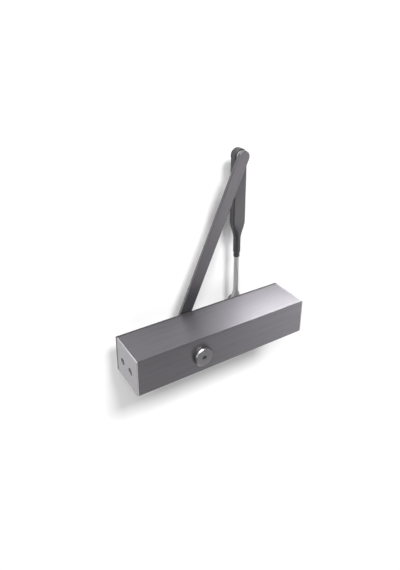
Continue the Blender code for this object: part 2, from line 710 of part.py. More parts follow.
def make_pinion(axis, steel):
    """The pinion shaft: teeth in the middle, a journal each side, a square for the arm below."""
    square_top = ARM_SIDE_Z - GAP
    square_end = ARM_TOP_Z - ARM_BOSS_DEPTH + 3 * GAP
    teeth = prism(gear_outline(), -GEAR_HALF_WIDTH, GEAR_HALF_WIDTH)
    shaft = finish_mesh("pinion_shaft", teeth, steel, axis)
    boolean(shaft, rod(JOURNAL_RADIUS, square_top, JOURNAL_TOP_Z, MEDIUM), "UNION")
    half = SQUARE_HALF_WIDTH
    square = box((-half, -half, square_end), (half, half, square_top + GAP))
    boolean(shaft, turn_to(square, Matrix.Rotation(ARM_ANGLE, 4, "Z")), "UNION")
    boolean(shaft, rod(ARM_SCREW_RADIUS + GAP, square_end - PAST, square_end + TAPPED_DEPTH, COARSE))
    cap_hole = rod(CAP_SCREW_RADIUS + GAP, JOURNAL_TOP_Z - TAPPED_DEPTH, JOURNAL_TOP_Z + PAST, COARSE)
    boolean(shaft, cap_hole)
    return shaft


def make_pinion_cap(axis, chrome, dark_steel):
    """The chrome cap over the pinion's free end, and the screw that holds it."""
    low = TOP_Z + GAP
    high = TOP_Z + CAP_HEIGHT
    neck = CAP_NECK_RADIUS
    neck_end = TOP_Z - CAP_NECK_DEPTH
    recess = CAP_RECESS_RADIUS
    recess_floor = high - CAP_RECESS_DEPTH
    profile = [(0.0, neck_end), (neck, neck_end), (neck, low), (CAP_RADIUS, low)]
    profile += [(CAP_RADIUS, high - CAP_CHAMFER), (CAP_RADIUS - CAP_CHAMFER, high)]
    profile += [(recess, high), (recess, recess_floor), (0.0, recess_floor)]
    cap = finish_mesh("pinion_cap", turned(profile, FINE), chrome, axis)
    boolean(cap, rod(CAP_SCREW_RADIUS + GAP, neck_end - PAST, high + PAST, COARSE))
    height = CAP_SCREW_HEAD_HEIGHT
    shape = socket_screw(CAP_SCREW_RADIUS, CAP_SCREW_LENGTH, recess - GAP, height, COARSE)
    screw = finish_mesh("cap_screw", shape, dark_steel, axis, (0.0, 0.0, recess_floor + GAP))
    boolean(screw, hexagon_socket(recess - GAP, height))


def make_main_arm(axis, painted_steel):
    """The flat main arm, straight from its pinion boss to its rounded elbow end."""
    tip = arc((ARM_LENGTH, 0.0), ARM_HALF_WIDTH, -90, 90, 10)
    root = arc((0.0, 0.0), ARM_HALF_WIDTH, 90, 270, 10)
    arm = finish_mesh("main_arm", prism(tip + root, ARM_BOTTOM_Z, ARM_TOP_Z), painted_steel, axis)
    boss = rod(ARM_BOSS_RADIUS, ARM_TOP_Z - ARM_BOSS_DEPTH, ARM_TOP_Z, MEDIUM)
    boolean(arm, boss, "UNION")
    half = SQUARE_HALF_WIDTH + GAP
    square = box((-half, -half, ARM_TOP_Z - ARM_BOSS_DEPTH - PAST), (half, half, ARM_TOP_Z + PAST))
    boolean(arm, square)
    hole_end = ARM_BOTTOM_Z + ELBOW_PIN_RIVETED + GAP
    pin_hole = rod(ELBOW_PIN_RADIUS + GAP, ARM_BOTTOM_Z - PAST, hole_end, COARSE)
    boolean(arm, turn_to(pin_hole, Matrix.Identity(4), (ARM_LENGTH, 0.0, 0.0)))
    return arm


def make_arm_fastening(axis, steel):
    """The screw and washer that hold the arm on the pinion's square."""
    washer_top = ARM_TOP_Z - ARM_BOSS_DEPTH - GAP
    washer_bottom = washer_top - ARM_WASHER_THICKNESS
    hole = ARM_SCREW_RADIUS + 2 * GAP
    washer = tube(ARM_WASHER_RADIUS, hole, washer_bottom, washer_top, MEDIUM)
    finish_mesh("arm_washer", washer, steel, axis)
    flip = Matrix.Rotation(math.pi, 4, "X")
    radius = ARM_SCREW_HEAD_RADIUS
    height = ARM_SCREW_HEAD_HEIGHT
    shape = turn_to(socket_screw(ARM_SCREW_RADIUS, ARM_SCREW_LENGTH, radius, height, COARSE), flip)
    screw = finish_mesh("arm_screw", shape, steel, axis, (0.0, 0.0, washer_bottom - GAP))
    boolean(screw, turn_to(hexagon_socket(radius, height), flip))


def pin_profile(radius, pin_end, head_radius, head_seat, head_height):
    """A pin with a chamfered head, for turning. A negative head height puts the head below."""
    chamfer = abs(head_height) / 2
    head_end = head_seat + head_height
    return [
        (0.0, pin_end),
        (radius, pin_end),
        (radius, head_seat),
        (head_radius, head_seat),
        (head_radius, (head_seat + head_end) / 2),
        (head_radius - chamfer, head_end),
        (0.0, head_end),
    ]


def make_elbow(arm_axis, forearm_axis, steel, nylon, bronze):
    """The elbow: a pin riveted in the main arm, a nylon washer, and a bush in the forearm's eye."""
    place = (ARM_LENGTH, 0.0, 0.0)
    head_top = SLEEVE_BOTTOM_Z - GAP
    pin_top = ARM_BOTTOM_Z + ELBOW_PIN_RIVETED
    head = ELBOW_PIN_HEAD_RADIUS
    profile = pin_profile(ELBOW_PIN_RADIUS, pin_top, head, head_top, -ELBOW_PIN_HEAD_HEIGHT)
    finish_mesh("elbow_pin", turned(profile, MEDIUM), steel, arm_axis, place)
    washer_top = ARM_BOTTOM_Z - GAP
    inner = ELBOW_PIN_RADIUS + RUNNING_CLEARANCE
    washer = tube(ELBOW_WASHER_RADIUS, inner, washer_top - ELBOW_WASHER_THICKNESS, washer_top, MEDIUM)
    finish_mesh("elbow_washer", washer, nylon, arm_axis, place)
    bush = tube(inner + BUSH_WALL, inner, SLEEVE_BOTTOM_Z, SLEEVE_TOP_Z, MEDIUM)
    finish_mesh("elbow_bush", bush, bronze, forearm_axis)


def make_forearm_sleeve(axis, painted_steel):
    """The forged sleeve: an eye at the elbow, a flat grip, and a taper into a round neck."""
    eye = arc((0.0, 0.0), SLEEVE_EYE_RADIUS, 60, 300, 20)
    lower = [(SLEEVE_EYE_END, -SLEEVE_HALF_WIDTH), (SLEEVE_FULL_WIDTH_END, -SLEEVE_HALF_WIDTH)]
    lower += [(SLEEVE_TAPER_END, -SLEEVE_TAPER_HALF_WIDTH)]
    upper = [(x, -y) for x, y in reversed(lower)]
    shape = prism(eye + lower + upper, SLEEVE_BOTTOM_Z, SLEEVE_TOP_Z)
    sleeve = finish_mesh("forearm_sleeve", shape, painted_steel, axis)
    bevel = sleeve.modifiers.new("rounded_edges", "BEVEL")
    bevel.width = SLEEVE_EDGE_CHAMFER
    bevel.segments = 2
    bevel.limit_method = "ANGLE"
    bevel.angle_limit = math.radians(60)
    neck = rod(NECK_RADIUS, SLEEVE_FULL_WIDTH_END, SLEEVE_END, MEDIUM)
    boolean(sleeve, turn_to(neck, ALONG_X, (0.0, 0.0, FOREARM_Z)), "UNION")
    eye_hole = ELBOW_PIN_RADIUS + RUNNING_CLEARANCE + BUSH_WALL + GAP
    boolean(sleeve, rod(eye_hole, SLEEVE_BOTTOM_Z - PAST, SLEEVE_TOP_Z + PAST, MEDIUM))
    bore = rod(ROD_RADIUS + RUNNING_CLEARANCE, SLEEVE_BORE_START, SLEEVE_END + PAST, MEDIUM)
    boolean(sleeve, turn_to(bore, ALONG_X, (0.0, 0.0, FOREARM_Z)))
    hole = rod(LOCK_SCREW_RADIUS + GAP, SLEEVE_BOTTOM_Z - PAST, FOREARM_Z, COARSE)
    boolean(sleeve, turn_to(hole, Matrix.Identity(4), (LOCK_SCREW_X, 0.0, 0.0)))
    return sleeve


def make_sleeve_fittings(axis, steel, black_plastic):
    """The locking grub screw under the sleeve's neck and the guide bush at its mouth."""
    place = (LOCK_SCREW_X, 0.0, FOREARM_Z - ROD_RADIUS - GAP)
    grub = rod(LOCK_SCREW_RADIUS, -LOCK_SCREW_LENGTH, 0.0, COARSE)
    screw = finish_mesh("lock_screw", grub, steel, axis, place)
    outline = polygon(LOCK_SCREW_RADIUS * SOCKET_SHARE, 6)
    boolean(screw, prism(outline, -LOCK_SCREW_LENGTH - PAST, -LOCK_SCREW_LENGTH / 2))
    start = SLEEVE_END + GAP
    inner = ROD_RADIUS + RUNNING_CLEARANCE
    bush = tube(ROD_RADIUS + GUIDE_BUSH_WALL, inner, start, start + GUIDE_BUSH_LENGTH, MEDIUM)
    finish_mesh("rod_guide_bush", turn_to(bush, ALONG_X), black_plastic, axis, (0.0, 0.0, FOREARM_Z))


def make_rod(axis, plated_steel, bronze):
    """The adjustable rod: round where it slides in the sleeve, with a flat eye for the shoe pin."""
    half = ROD_EYE_THICKNESS / 2
    end = FOREARM_LENGTH
    bar = turn_to(rod(ROD_RADIUS, ROD_START, end - ROD_BAR_END, COARSE), ALONG_X)
    place = (0.0, 0.0, FOREARM_Z)
    made = finish_mesh("adjusting_rod", bar, plated_steel, axis, place)
    narrow = ROD_SHOULDER_NARROW
    wide = ROD_SHOULDER_HALF_WIDTH
    shoulder = [(end - ROD_SHOULDER_END, -wide), (end - ROD_SHOULDER_START, -narrow)]
    shoulder += [(end - ROD_SHOULDER_START, narrow), (end - ROD_SHOULDER_END, wide)]
    eye = arc((end, 0.0), ROD_EYE_RADIUS, 120, -120, 20)
    boolean(made, prism(shoulder + eye, -half, half), "UNION")
    inner = SHOE_PIN_RADIUS + RUNNING_CLEARANCE
    outer = inner + BUSH_WALL
    boolean(made, turn_to(rod(outer + GAP, -PAST, PAST, MEDIUM), Matrix.Identity(4), (end, 0.0, 0.0)))
    bush = tube(outer, inner, -half, half, MEDIUM)
    finish_mesh("rod_eye_bush", bush, bronze, axis, (end, 0.0, FOREARM_Z))


def make_shoe(axis, painted_steel, steel, nylon):
    """The shoe: an angle bracket for the door frame, with the pivot pin and its washer."""
    eye_bottom = FOREARM_Z - ROD_EYE_THICKNESS / 2
    eye_top = FOREARM_Z + ROD_EYE_THICKNESS / 2
    washer_top = eye_bottom - GAP
    washer_bottom = washer_top - SHOE_WASHER_THICKNESS
    tongue_top = washer_bottom - GAP
    tongue_bottom = tongue_top - SHOE_SHEET
    back = -SHOE_POINT.y
    outline = arc((0.0, 0.0), SHOE_TONGUE_HALF_WIDTH, 0, 180, 14)
    outline += [(-SHOE_TONGUE_HALF_WIDTH, back), (SHOE_TONGUE_HALF_WIDTH, back)]
    bracket = finish_mesh("shoe", prism(outline, tongue_bottom, tongue_top), painted_steel, axis)
    flange_low = tongue_top - SHOE_FLANGE_HEIGHT
    flange = box((-SHOE_HALF_LENGTH, back, flange_low), (SHOE_HALF_LENGTH, back + SHOE_SHEET, tongue_top))
    boolean(bracket, flange, "UNION")
    middle = (flange_low + tongue_bottom) / 2
    for x in (-SHOE_HOLE_OFFSET, SHOE_HOLE_OFFSET):
        hole = rod(SHOE_HOLE_RADIUS, back - PAST, back + SHOE_SHEET + PAST, COARSE)
        boolean(bracket, turn_to(hole, ALONG_Y, (x, 0.0, middle)))
    boolean(bracket, rod(SHOE_PIN_RADIUS + GAP, tongue_bottom - PAST, tongue_top + PAST, COARSE))

    head_seat = eye_top + GAP
    radius = SHOE_PIN_RADIUS
    profile = pin_profile(radius, tongue_bottom, SHOE_PIN_HEAD_RADIUS, head_seat, SHOE_PIN_HEAD_HEIGHT)
    finish_mesh("shoe_pin", turned(profile, MEDIUM), steel, axis)
    washer = tube(SHOE_WASHER_RADIUS, radius + GAP, washer_bottom, washer_top, MEDIUM)
    finish_mesh("shoe_washer", washer, nylon, axis)


def main():
    """Build the whole closer in its rest pose."""
    clear_scene()
    brushed = material("brushed_cover", (0.42, 0.41, 0.43), 0.42, 0.9)
    end_metal = material("end_cap_metal", (0.62, 0.61, 0.63), 0.45, 0.7)
    cast_metal = material("cast_housing", (0.30, 0.30, 0.31), 0.6, 0.7)
    black_plastic = material("black_plastic", (0.03, 0.03, 0.035), 0.5, 0.0)
    arm_paint = material("arm_metal", (0.22, 0.22, 0.24), 0.45, 0.6)
    rod_metal = material("plated_rod", (0.48, 0.48, 0.50), 0.3, 0.9)
    chrome = material("chrome", (0.80, 0.80, 0.82), 0.08, 1.0)
    steel = material("steel", (0.45, 0.45, 0.47), 0.35, 0.9)
    dark_steel = material("dark_steel", (0.10, 0.10, 0.11), 0.4, 0.8)
    spring_steel = material("spring_steel", (0.16, 0.16, 0.18), 0.4, 0.8)
    bronze = material("bronze", (0.55, 0.38, 0.20), 0.4, 0.9)
    rubber = material("rubber", (0.02, 0.02, 0.02), 0.7, 0.0)
    nylon = material("nylon", (0.75, 0.74, 0.70), 0.5, 0.0)

    make_housing(cast_metal)
    make_mounting_plate(steel)
    make_body_screws(steel)
    make_cover(brushed)
    valve_openings = [(VALVE_Y, z, VALVE_ACCESS_RADIUS) for z in (-VALVE_Z, VALVE_Z)]
    valve_inner = VALVE_END_X + END_CAP_THICKNESS
    spring_inner = SPRING_END_X - END_CAP_THICKNESS
    make_end_cap("valve_end_cap", VALVE_END_X, valve_inner, valve_openings, end_metal)
    spring_opening = [(BORE_Y, 0.0, SPRING_ACCESS_RADIUS)]
    make_end_cap("spring_end_cap", SPRING_END_X, spring_inner, spring_opening, end_metal)
    make_arm_side_panel(black_plastic)
    make_panel_screws(dark_steel)
    make_bearings(steel, bronze, rubber)
    make_valve_plug(steel, rubber)
    make_valve("closing_speed_valve", VALVE_Z, dark_steel, rubber)
    make_valve("latching_speed_valve", -VALVE_Z, dark_steel, rubber)
    make_spring_end(steel, rubber, spring_steel)
    make_piston(steel, rubber)

    pinion_axis = empty("pinion_axis", PINION_POINT, ARM_ANGLE)
    elbow_axis = empty("elbow_axis", ELBOW_POINT, FOREARM_ANGLE)
    shoe_axis = empty("shoe_axis", SHOE_POINT)
    make_pinion(empty("gear_axis", PINION_POINT), steel)
    make_pinion_cap(pinion_axis, chrome, dark_steel)
    make_main_arm(pinion_axis, arm_paint)
    make_arm_fastening(pinion_axis, steel)
    make_elbow(pinion_axis, elbow_axis, steel, nylon, bronze)
    make_forearm_sleeve(elbow_axis, arm_paint)
    make_sleeve_fittings(elbow_axis, dark_steel, black_plastic)
    make_rod(elbow_axis, rod_metal, bronze)
    make_shoe(shoe_axis, arm_paint, steel, nylon)


main()
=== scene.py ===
"""Looks of the overhead door closer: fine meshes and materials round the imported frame.

Lengths are in metres, in the frame's own axes: +X along the body towards the spring end, +Y out
from the door, +Z along the pinion axis towards the cap. Arm pieces are built in their own axes,
X along the arm from its pivot, and then placed.
"""

import json
import math

import bmesh
import bpy
from mathutils import Matrix, Vector


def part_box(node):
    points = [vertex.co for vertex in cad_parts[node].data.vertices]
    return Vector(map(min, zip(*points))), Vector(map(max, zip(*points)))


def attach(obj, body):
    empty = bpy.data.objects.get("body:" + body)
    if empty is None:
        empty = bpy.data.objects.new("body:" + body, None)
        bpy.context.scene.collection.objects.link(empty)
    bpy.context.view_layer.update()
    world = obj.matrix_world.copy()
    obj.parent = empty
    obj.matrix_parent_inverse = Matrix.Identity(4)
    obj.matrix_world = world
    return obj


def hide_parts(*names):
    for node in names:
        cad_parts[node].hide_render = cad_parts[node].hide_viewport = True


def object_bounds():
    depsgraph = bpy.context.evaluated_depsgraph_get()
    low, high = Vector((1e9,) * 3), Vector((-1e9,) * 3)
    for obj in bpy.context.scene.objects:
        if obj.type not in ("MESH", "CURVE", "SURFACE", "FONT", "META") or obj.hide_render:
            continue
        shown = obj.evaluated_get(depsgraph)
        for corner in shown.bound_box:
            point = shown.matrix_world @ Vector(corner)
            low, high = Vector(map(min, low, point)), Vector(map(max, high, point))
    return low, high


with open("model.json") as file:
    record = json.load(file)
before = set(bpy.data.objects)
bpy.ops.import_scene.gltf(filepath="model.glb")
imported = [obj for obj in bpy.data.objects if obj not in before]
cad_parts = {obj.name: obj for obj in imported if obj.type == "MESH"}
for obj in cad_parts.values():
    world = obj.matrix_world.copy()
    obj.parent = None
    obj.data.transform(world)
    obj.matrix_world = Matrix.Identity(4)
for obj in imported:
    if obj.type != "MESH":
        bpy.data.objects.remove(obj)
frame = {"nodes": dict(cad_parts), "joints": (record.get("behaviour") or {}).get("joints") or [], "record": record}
cad_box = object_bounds()

# Edges and facets
FINE = 96
MEDIUM = 64
SMALL = 40
SHARP_ANGLE = math.radians(32)
BEVEL_ANGLE = math.radians(40)
BEVEL_SEGMENTS = 3
ARC_STEPS = 24
CORNER_STEPS = 8
FINE_EDGE = 0.0002
SOFT_EDGE = 0.0003
# A profile point nearer the axis than this is on it; rounding takes at most this share of a side
ON_AXIS = 1e-7
MOST_ROUNDING = 0.45

# Fits, and how far a cutter runs past the faces it cuts
GAP = 0.0003
RUNNING_CLEARANCE = 0.00015
PAST = 0.004

# Body
SHEET = 0.0018
COVER_CORNER_RADIUS = 0.0009
SHEET_EDGE = 0.00022
PANEL_EDGE = 0.0005
PANEL_CORNER_RADIUS = 0.0008
PLATE_CORNER_RADIUS = 0.004
PINION_HOLE_RADIUS = 0.0112
SHAFT_HOLE_RADIUS = 0.0085
VALVE_HOLE_RADIUS = 0.0048
SPRING_HOLE_RADIUS = 0.0065
HOLE_CHAMFER = 0.0004
PANEL_SCREW_SEAT = 0.0016
PANEL_SCREW_HOLE_RADIUS = 0.0017
PANEL_SCREW_RADIUS = 0.0014
PANEL_SCREW_HEAD_RADIUS = 0.0028
PANEL_SCREW_HEAD_HEIGHT = 0.0012
PANEL_SCREW_SLOT_HALF_WIDTH = 0.0004
BODY_SCREW_HOLE_RADIUS = 0.0028
FIXING_HOLE_RADIUS = 0.0027
FIXING_HOLE_X = (-0.056, 0.106)
FIXING_HOLE_Z = 0.013

# Screws: shares of the head's radius or height. PAN_HEAD gives (radius, height) points of its profile
SOCKET_SIDES = 6
SOCKET_SHARE = 0.55
SOCKET_FLOOR_SHARE = 0.4
HEAD_ROUNDING_SHARE = 0.12
SLOT_REACH = 1.5
PAN_HEAD = ((1.0, 0.45), (0.85, 0.85), (0.5, 1.0))

# Valve screws and adjusting screw
VALVE_HEAD_LENGTH = 0.0047
VALVE_SHANK_INSET = 0.001
VALVE_CHAMFER = 0.0004
VALVE_TAPER = 0.006
VALVE_TIP_RADIUS = 0.0008
VALVE_SLOT_HALF_WIDTH = 0.00065
VALVE_SLOT_DEPTH = 0.0016
ADJUSTER_RADIUS = 0.004
ADJUSTER_JOURNAL_RADIUS = 0.00535
ADJUSTER_COLLAR_END = 0.1477
ADJUSTER_COLLAR_THICKNESS = 0.0032
ADJUSTER_CHAMFER = 0.0005
ADJUSTER_SOCKET_RADIUS = ADJUSTER_JOURNAL_RADIUS / 2
ADJUSTER_SOCKET_DEPTH = 0.006

# Cap on the pinion
CAP_CHAMFER = 0.0014
CAP_NECK_RADIUS = 0.0098
CAP_RECESS_RADIUS = 0.0032
CAP_RECESS_DEPTH = 0.0022
CAP_FACE_DEPTH = 0.0001
CAP_SCREW_RADIUS = 0.0015
CAP_SCREW_HEAD_HEIGHT = 0.0016

# Arms. ELBOW_PIN_CROWN gives (inset from the rim, rise) points of the riveted head
ARM_HALF_WIDTH = 0.0086
ARM_THICKNESS = 0.0045
ARM_EDGE = 0.0006
BOSS_RADIUS = 0.0135
BOSS_ROUNDING = 0.0012
SQUARE_HALF_WIDTH = 0.0051
ARM_SCREW_RADIUS = 0.0028
ARM_SCREW_HEAD_RADIUS = 0.0055
ARM_SCREW_HEAD_HEIGHT = 0.0040
WASHER_RADIUS = 0.0085
WASHER_HOLE_RADIUS = 0.0034
ELBOW_HOLE_RADIUS = 0.0043
ELBOW_HOLE_DEPTH = 0.003
ELBOW_PIN_RADIUS = 0.0040
ELBOW_PIN_HEAD_RADIUS = 0.0074
ELBOW_PIN_HEAD_HEIGHT = 0.0016
ELBOW_PIN_CROWN = ((0.0022, 0.0), (0.0008, 0.0004), (0.0, 0.0010))
ELBOW_WASHER_RADIUS = 0.0078
SLEEVE_EYE_RADIUS = 0.010
SLEEVE_EYE_ROUNDING = 0.0014
SLEEVE_HALF_WIDTH = 0.0098
SLEEVE_CHAMFER = 0.0013
SLEEVE_FULL_WIDTH_END = 0.0945
SLEEVE_TAPER_END = 0.118
SLEEVE_END = 0.140
SLEEVE_MOUTH_LENGTH = 0.0008
SLEEVE_MOUTH_INSET = 0.0006
SLEEVE_BORE_START = 0.045
SLEEVE_BORE_RADIUS = 0.0037
# The taper narrows evenly, with this share of an S curve; a section has points at FACET_SHARES of a side
TAPER_STEPS = 14
TAPER_EASE = 0.35
TAPER_CHAMFER_SHARE = 0.6
FACET_SHARES = (0.06, 0.35, 0.65, 0.94)
NECK_RADIUS = 0.0051
EYE_HOLE_RADIUS = 0.0059
LOCK_SCREW_X = 0.125
LOCK_SCREW_HOLE_RADIUS = 0.0023
GUIDE_BUSH_LENGTH = 0.0067
GUIDE_BUSH_RADIUS = 0.0044
ROD_RADIUS = 0.0035
ROD_START = 0.082
ROD_EYE_RADIUS = 0.0085
ROD_EYE_HALF_THICKNESS = 0.0034
ROD_SHOULDER_START = 0.0210
ROD_SHOULDER_END = 0.0110
ROD_SHOULDER_HALF_WIDTH = 0.0056
ROD_SHOULDER_STEPS = 8
ROD_CHAMFER = 0.001
ROD_EYE_ROUNDING = 0.0008
BUSH_WALL = 0.0014

# Shoe
SHOE_PIN_RADIUS = 0.0035
SHOE_PIN_HEAD_RADIUS = 0.0062
SHOE_PIN_HEAD_HEIGHT = 0.0015
SHOE_PIN_CHAMFER_HEIGHT = 0.0008
SHOE_PIN_CHAMFER_WIDTH = 0.0012
SHOE_WASHER_RADIUS = 0.0078
SHOE_SHEET = 0.004
SHOE_OVERLAP = 0.0005
SHOE_TONGUE_HALF_WIDTH = 0.0078
SHOE_HOLE_RADIUS = 0.0027
SHOE_HOLE_CHAMFER = 0.0006
SHOE_HOLE_OFFSET = 0.019
SHOE_CORNER_RADIUS = 0.004
SHOE_EDGE = 0.0005

# Brushed metal: colour, roughness, how far the gloss is drawn out, and contrast of the streaks
BRUSHED_FINISHES = {
    "brushed_cover": ((0.184, 0.178, 0.192), 0.46, 0.85, 0.08),
    "arm_metal": ((0.182, 0.176, 0.188), 0.48, 0.5, 0.06),
}
# Turned metal: colour, roughness, and pitch of the rings
TURNED_FINISHES = {
    "chrome": ((0.41, 0.405, 0.42), 0.32, 0.0006),
    "cap_face": ((0.31, 0.304, 0.32), 0.34, 0.0005),
    "steel": ((0.42, 0.42, 0.44), 0.34, 0.0003),
    "dark_steel": ((0.11, 0.11, 0.12), 0.38, 0.0003),
    "bronze": ((0.55, 0.38, 0.20), 0.40, 0.0003),
}
# Cast, painted, plated or moulded: colour, roughness, metallic, grains in a metre, relief, contrast
COATED_FINISHES = {
    "end_cap_metal": ((0.385, 0.378, 0.395), 0.5, 0.45, 1500.0, 0.00001, 0.05),
    "cast_housing": ((0.20, 0.20, 0.21), 0.6, 0.7, 900.0, 0.0001, 0.15),
    "black_plastic": ((0.035, 0.034, 0.037), 0.45, 0.0, 1800.0, 0.00003, 0.10),
    # The sleeve's finish below is the arm's metal with a far darker base and a coated skin; the darker base is
    # painted shade, standing in for the main arm's shade over the sleeve.
    "sleeve_painted_shade": ((0.055, 0.053, 0.057), 0.38, 0.35, 1500.0, 0.00001, 0.05),
    "plated_rod": ((0.42, 0.415, 0.425), 0.40, 0.55, 1500.0, 0.000008, 0.04),
    "spring_steel": ((0.16, 0.16, 0.18), 0.35, 0.9, 1200.0, 0.00002, 0.10),
    "rubber": ((0.02, 0.02, 0.02), 0.7, 0.0, 1500.0, 0.00003, 0.10),
    "nylon": ((0.70, 0.69, 0.65), 0.5, 0.0, 1500.0, 0.00002, 0.04),
}
# Noise: scales for each axis or in every direction, relief in metres, and limits round the roughness
WIDE_STREAKS = (14.0, 420.0, 420.0)
FINE_STREAKS = (45.0, 2600.0, 2600.0)
STREAK_RELIEF = 0.000012
RING_RELIEF = 0.00001
RING_GLOSS = (-0.06, 0.08)
TURNED_CLOUDS = 160.0
TURNED_CONTRAST = 0.08
COATED_CLOUDS = 60.0
GLOSS_SPREAD = 0.05
NOISE_LOW = 0.25
NOISE_HIGH = 0.75

# Floor
FLOOR_COLOUR = (0.93, 0.93, 0.93)
FLOOR_ROUGHNESS = 0.9
FLOOR_CLOUDS = 8.0
FLOOR_CONTRAST = 0.004
FLOOR_DROP = 0.0004
FLOOR_REACH = 6.0
FLOOR_PANEL_LIFT = 0.001

# Light: name, direction from the target, distance, width, height, power in watts
LIGHT_TARGET = (0.04, 0.05, 0.0)
ROOM_STRENGTH = 0.06
SOFT_BOXES = (
    ("key", (-0.06, 0.76, 0.65), 3.2, 0.8, 0.5, 96.0),
    ("wide_key", (-0.42, 0.70, 0.58), 3.2, 1.2, 0.5, 50.0),
    ("low_fill", (0.20, -0.87, 0.37), 1.8, 1.3, 0.6, 9.0),
    ("side_fill", (0.65, -0.25, 0.70), 1.8, 0.9, 0.6, 8.0),
    ("rim", (-0.73, 0.05, 0.68), 2.4, 0.6, 0.5, 4.0),
)
# Panels on the floor: name, x, y, width, length, power in watts
FLOOR_PANELS = (
    ("right_panel", 0.50, 0.12, 0.20, 0.20, 8.0),
    ("upper_panel", 0.37, 0.42, 0.25, 0.25, 9.8),
)

# Camera
CAMERA_PLACE = (-0.2867, 0.4360, 0.4788)
CAMERA_AZIMUTH = -128.65
CAMERA_ELEVATION = 51.25
CAMERA_ROLL = 122.24
CAMERA_SENSOR = 36.0
CAMERA_LENS = 32.43
CAMERA_CLIP = (0.01, 50.0)
CAMERA_SHIFT_Y = -0.114

JOINTS = {joint["name"]: joint for joint in frame["joints"]}
BODY_OF = {node: name for name, nodes in frame["record"]["behaviour"]["bodies"].items() for node in nodes}
SLOT_OF = {part["node"]: part["material_slot"] for part in frame["record"]["subparts"]}
PANEL_SCREWS = [node for node in SLOT_OF if node.startswith("panel_screw_")]
BODY_SCREWS = [node for node in SLOT_OF if node.startswith("body_screw_")]

PINION = Vector(JOINTS["main_arm_turn"]["pos_m"])
ELBOW = Vector(JOINTS["elbow_turn"]["pos_m"])
SHOE = Vector(JOINTS["shoe_turn"]["pos_m"])
ARM_LENGTH = (ELBOW - PINION).xy.length
FOREARM_LENGTH = (SHOE - ELBOW).xy.length
FOREARM_Z = ELBOW.z

ALONG_X = Matrix.Rotation(math.pi / 2, 4, "Y")
ALONG_Y = Matrix.Rotation(-math.pi / 2, 4, "X")
DOWN = Matrix.Rotation(math.pi, 4, "X")


def pointing(start, end, height):
    """The placement of an arm piece: origin at a pivot and X towards the next pivot."""
    reach = end - start
    turn = Matrix.Rotation(math.atan2(reach.y, reach.x), 4, "Z")
    return Matrix.Translation((start.x, start.y, height)) @ turn


ARM_PLACE = pointing(PINION, ELBOW, 0.0)
FOREARM_PLACE = pointing(ELBOW, SHOE, FOREARM_Z)
SHOE_PLACE = Matrix.Translation((SHOE.x, SHOE.y, 0.0))


# Mesh helpers

def ring(builder, points):
    """Vertices of a closed loop."""
    return [builder.verts.new(point) for point in points]


def bridge(builder, first, second):
    """Side faces between two loops of the same length."""
    count = len(first)
    for i in range(count):
        following = (i + 1) % count
        builder.faces.new((first[i], first[following], second[following], second[i]))


def loft(rings):
    """A solid through a row of closed loops, capped at both ends."""
    builder = bmesh.new()
    loops = [ring(builder, points) for points in rings]
    for first, second in zip(loops, loops[1:]):
        bridge(builder, first, second)
    builder.faces.new(list(reversed(loops[0])))
    builder.faces.new(loops[-1])
    return builder


def prism(outline, low, high):
    """An outline in the XY plane, extruded from z = low to z = high."""
    return loft([[(x, y, z) for x, y in outline] for z in (low, high)])


def turned(profile, segments):
    """A solid of revolution about Z from (radius, z) points; the profile is closed on itself."""
    builder = bmesh.new()
    loops = []
    for radius, height in profile:
        if radius < ON_AXIS:
            loops.append([builder.verts.new((0.0, 0.0, height))])
            continue
        turns = [2 * math.pi * i / segments for i in range(segments)]
        loops.append(ring(builder, [(radius * math.cos(a), radius * math.sin(a), height) for a in turns]))
    for first, second in zip(loops, loops[1:] + loops[:1]):
        if len(first) == 1 and len(second) == 1:
            continue
        for i in range(segments):
            following = (i + 1) % segments
            corners = [first[i % len(first)], first[following % len(first)]]
            corners += [second[following % len(second)], second[i % len(second)]]
            builder.faces.new(list(dict.fromkeys(corners)))
    return builder


def arc(centre, radius, start, end, steps):
    """Points on an arc in the plane, both ends included; angles in degrees."""
    angles = [math.radians(start + (end - start) * i / steps) for i in range(steps + 1)]
    return [(centre[0] + radius * math.cos(a), centre[1] + radius * math.sin(a)) for a in angles]


def polygon(radius, sides):
    """A regular polygon round the origin."""
    angles = [2 * math.pi * i / sides for i in range(sides)]
    return [(radius * math.cos(a), radius * math.sin(a)) for a in angles]


def rounded_rectangle(low, high, radius):
    """A rectangle with round corners."""
    left, right = low[0] + radius, high[0] - radius
    bottom, top = low[1] + radius, high[1] - radius
    middles = ((right, bottom), (right, top), (left, top), (left, bottom))
    points = []
    for middle, start in zip(middles, (-90, 0, 90, 180)):
        points += arc(middle, radius, start, start + 90, CORNER_STEPS)
    return points


def box_between(low, high):
    """A box between two corners."""
    outline = [(low[0], low[1]), (high[0], low[1]), (high[0], high[1]), (low[0], high[1])]
    return prism(outline, low[2], high[2])


def rounded_profile(corners, radius, steps):
    """A turned profile whose corners are rounded. Corners on the axis stay sharp."""
    points = []
    count = len(corners)
    for i, corner in enumerate(corners):
        here = Vector(corner)
        back = Vector(corners[i - 1]) - here
        ahead = Vector(corners[(i + 1) % count]) - here
        if here.x < ON_AXIS:
            points.append(corner)
            continue
        reach = min(radius, back.length * MOST_ROUNDING, ahead.length * MOST_ROUNDING)
        start = here + back.normalized() * reach
        end = here + ahead.normalized() * reach
        for step in range(steps + 1):
            share = step / steps
            first = start.lerp(here, share)
            second = here.lerp(end, share)
            points.append(tuple(first.lerp(second, share)))
    return points


def hole_cutter(radius, low, high, chamfer):
    """A cutter for a through hole along Z with a chamfer at both mouths."""
    wide = radius + chamfer + PAST
    profile = [(0.0, low - PAST), (wide, low - PAST), (radius, low + chamfer)]
    profile += [(radius, high - chamfer), (wide, high + PAST), (0.0, high + PAST)]
    return turned(profile, SMALL)


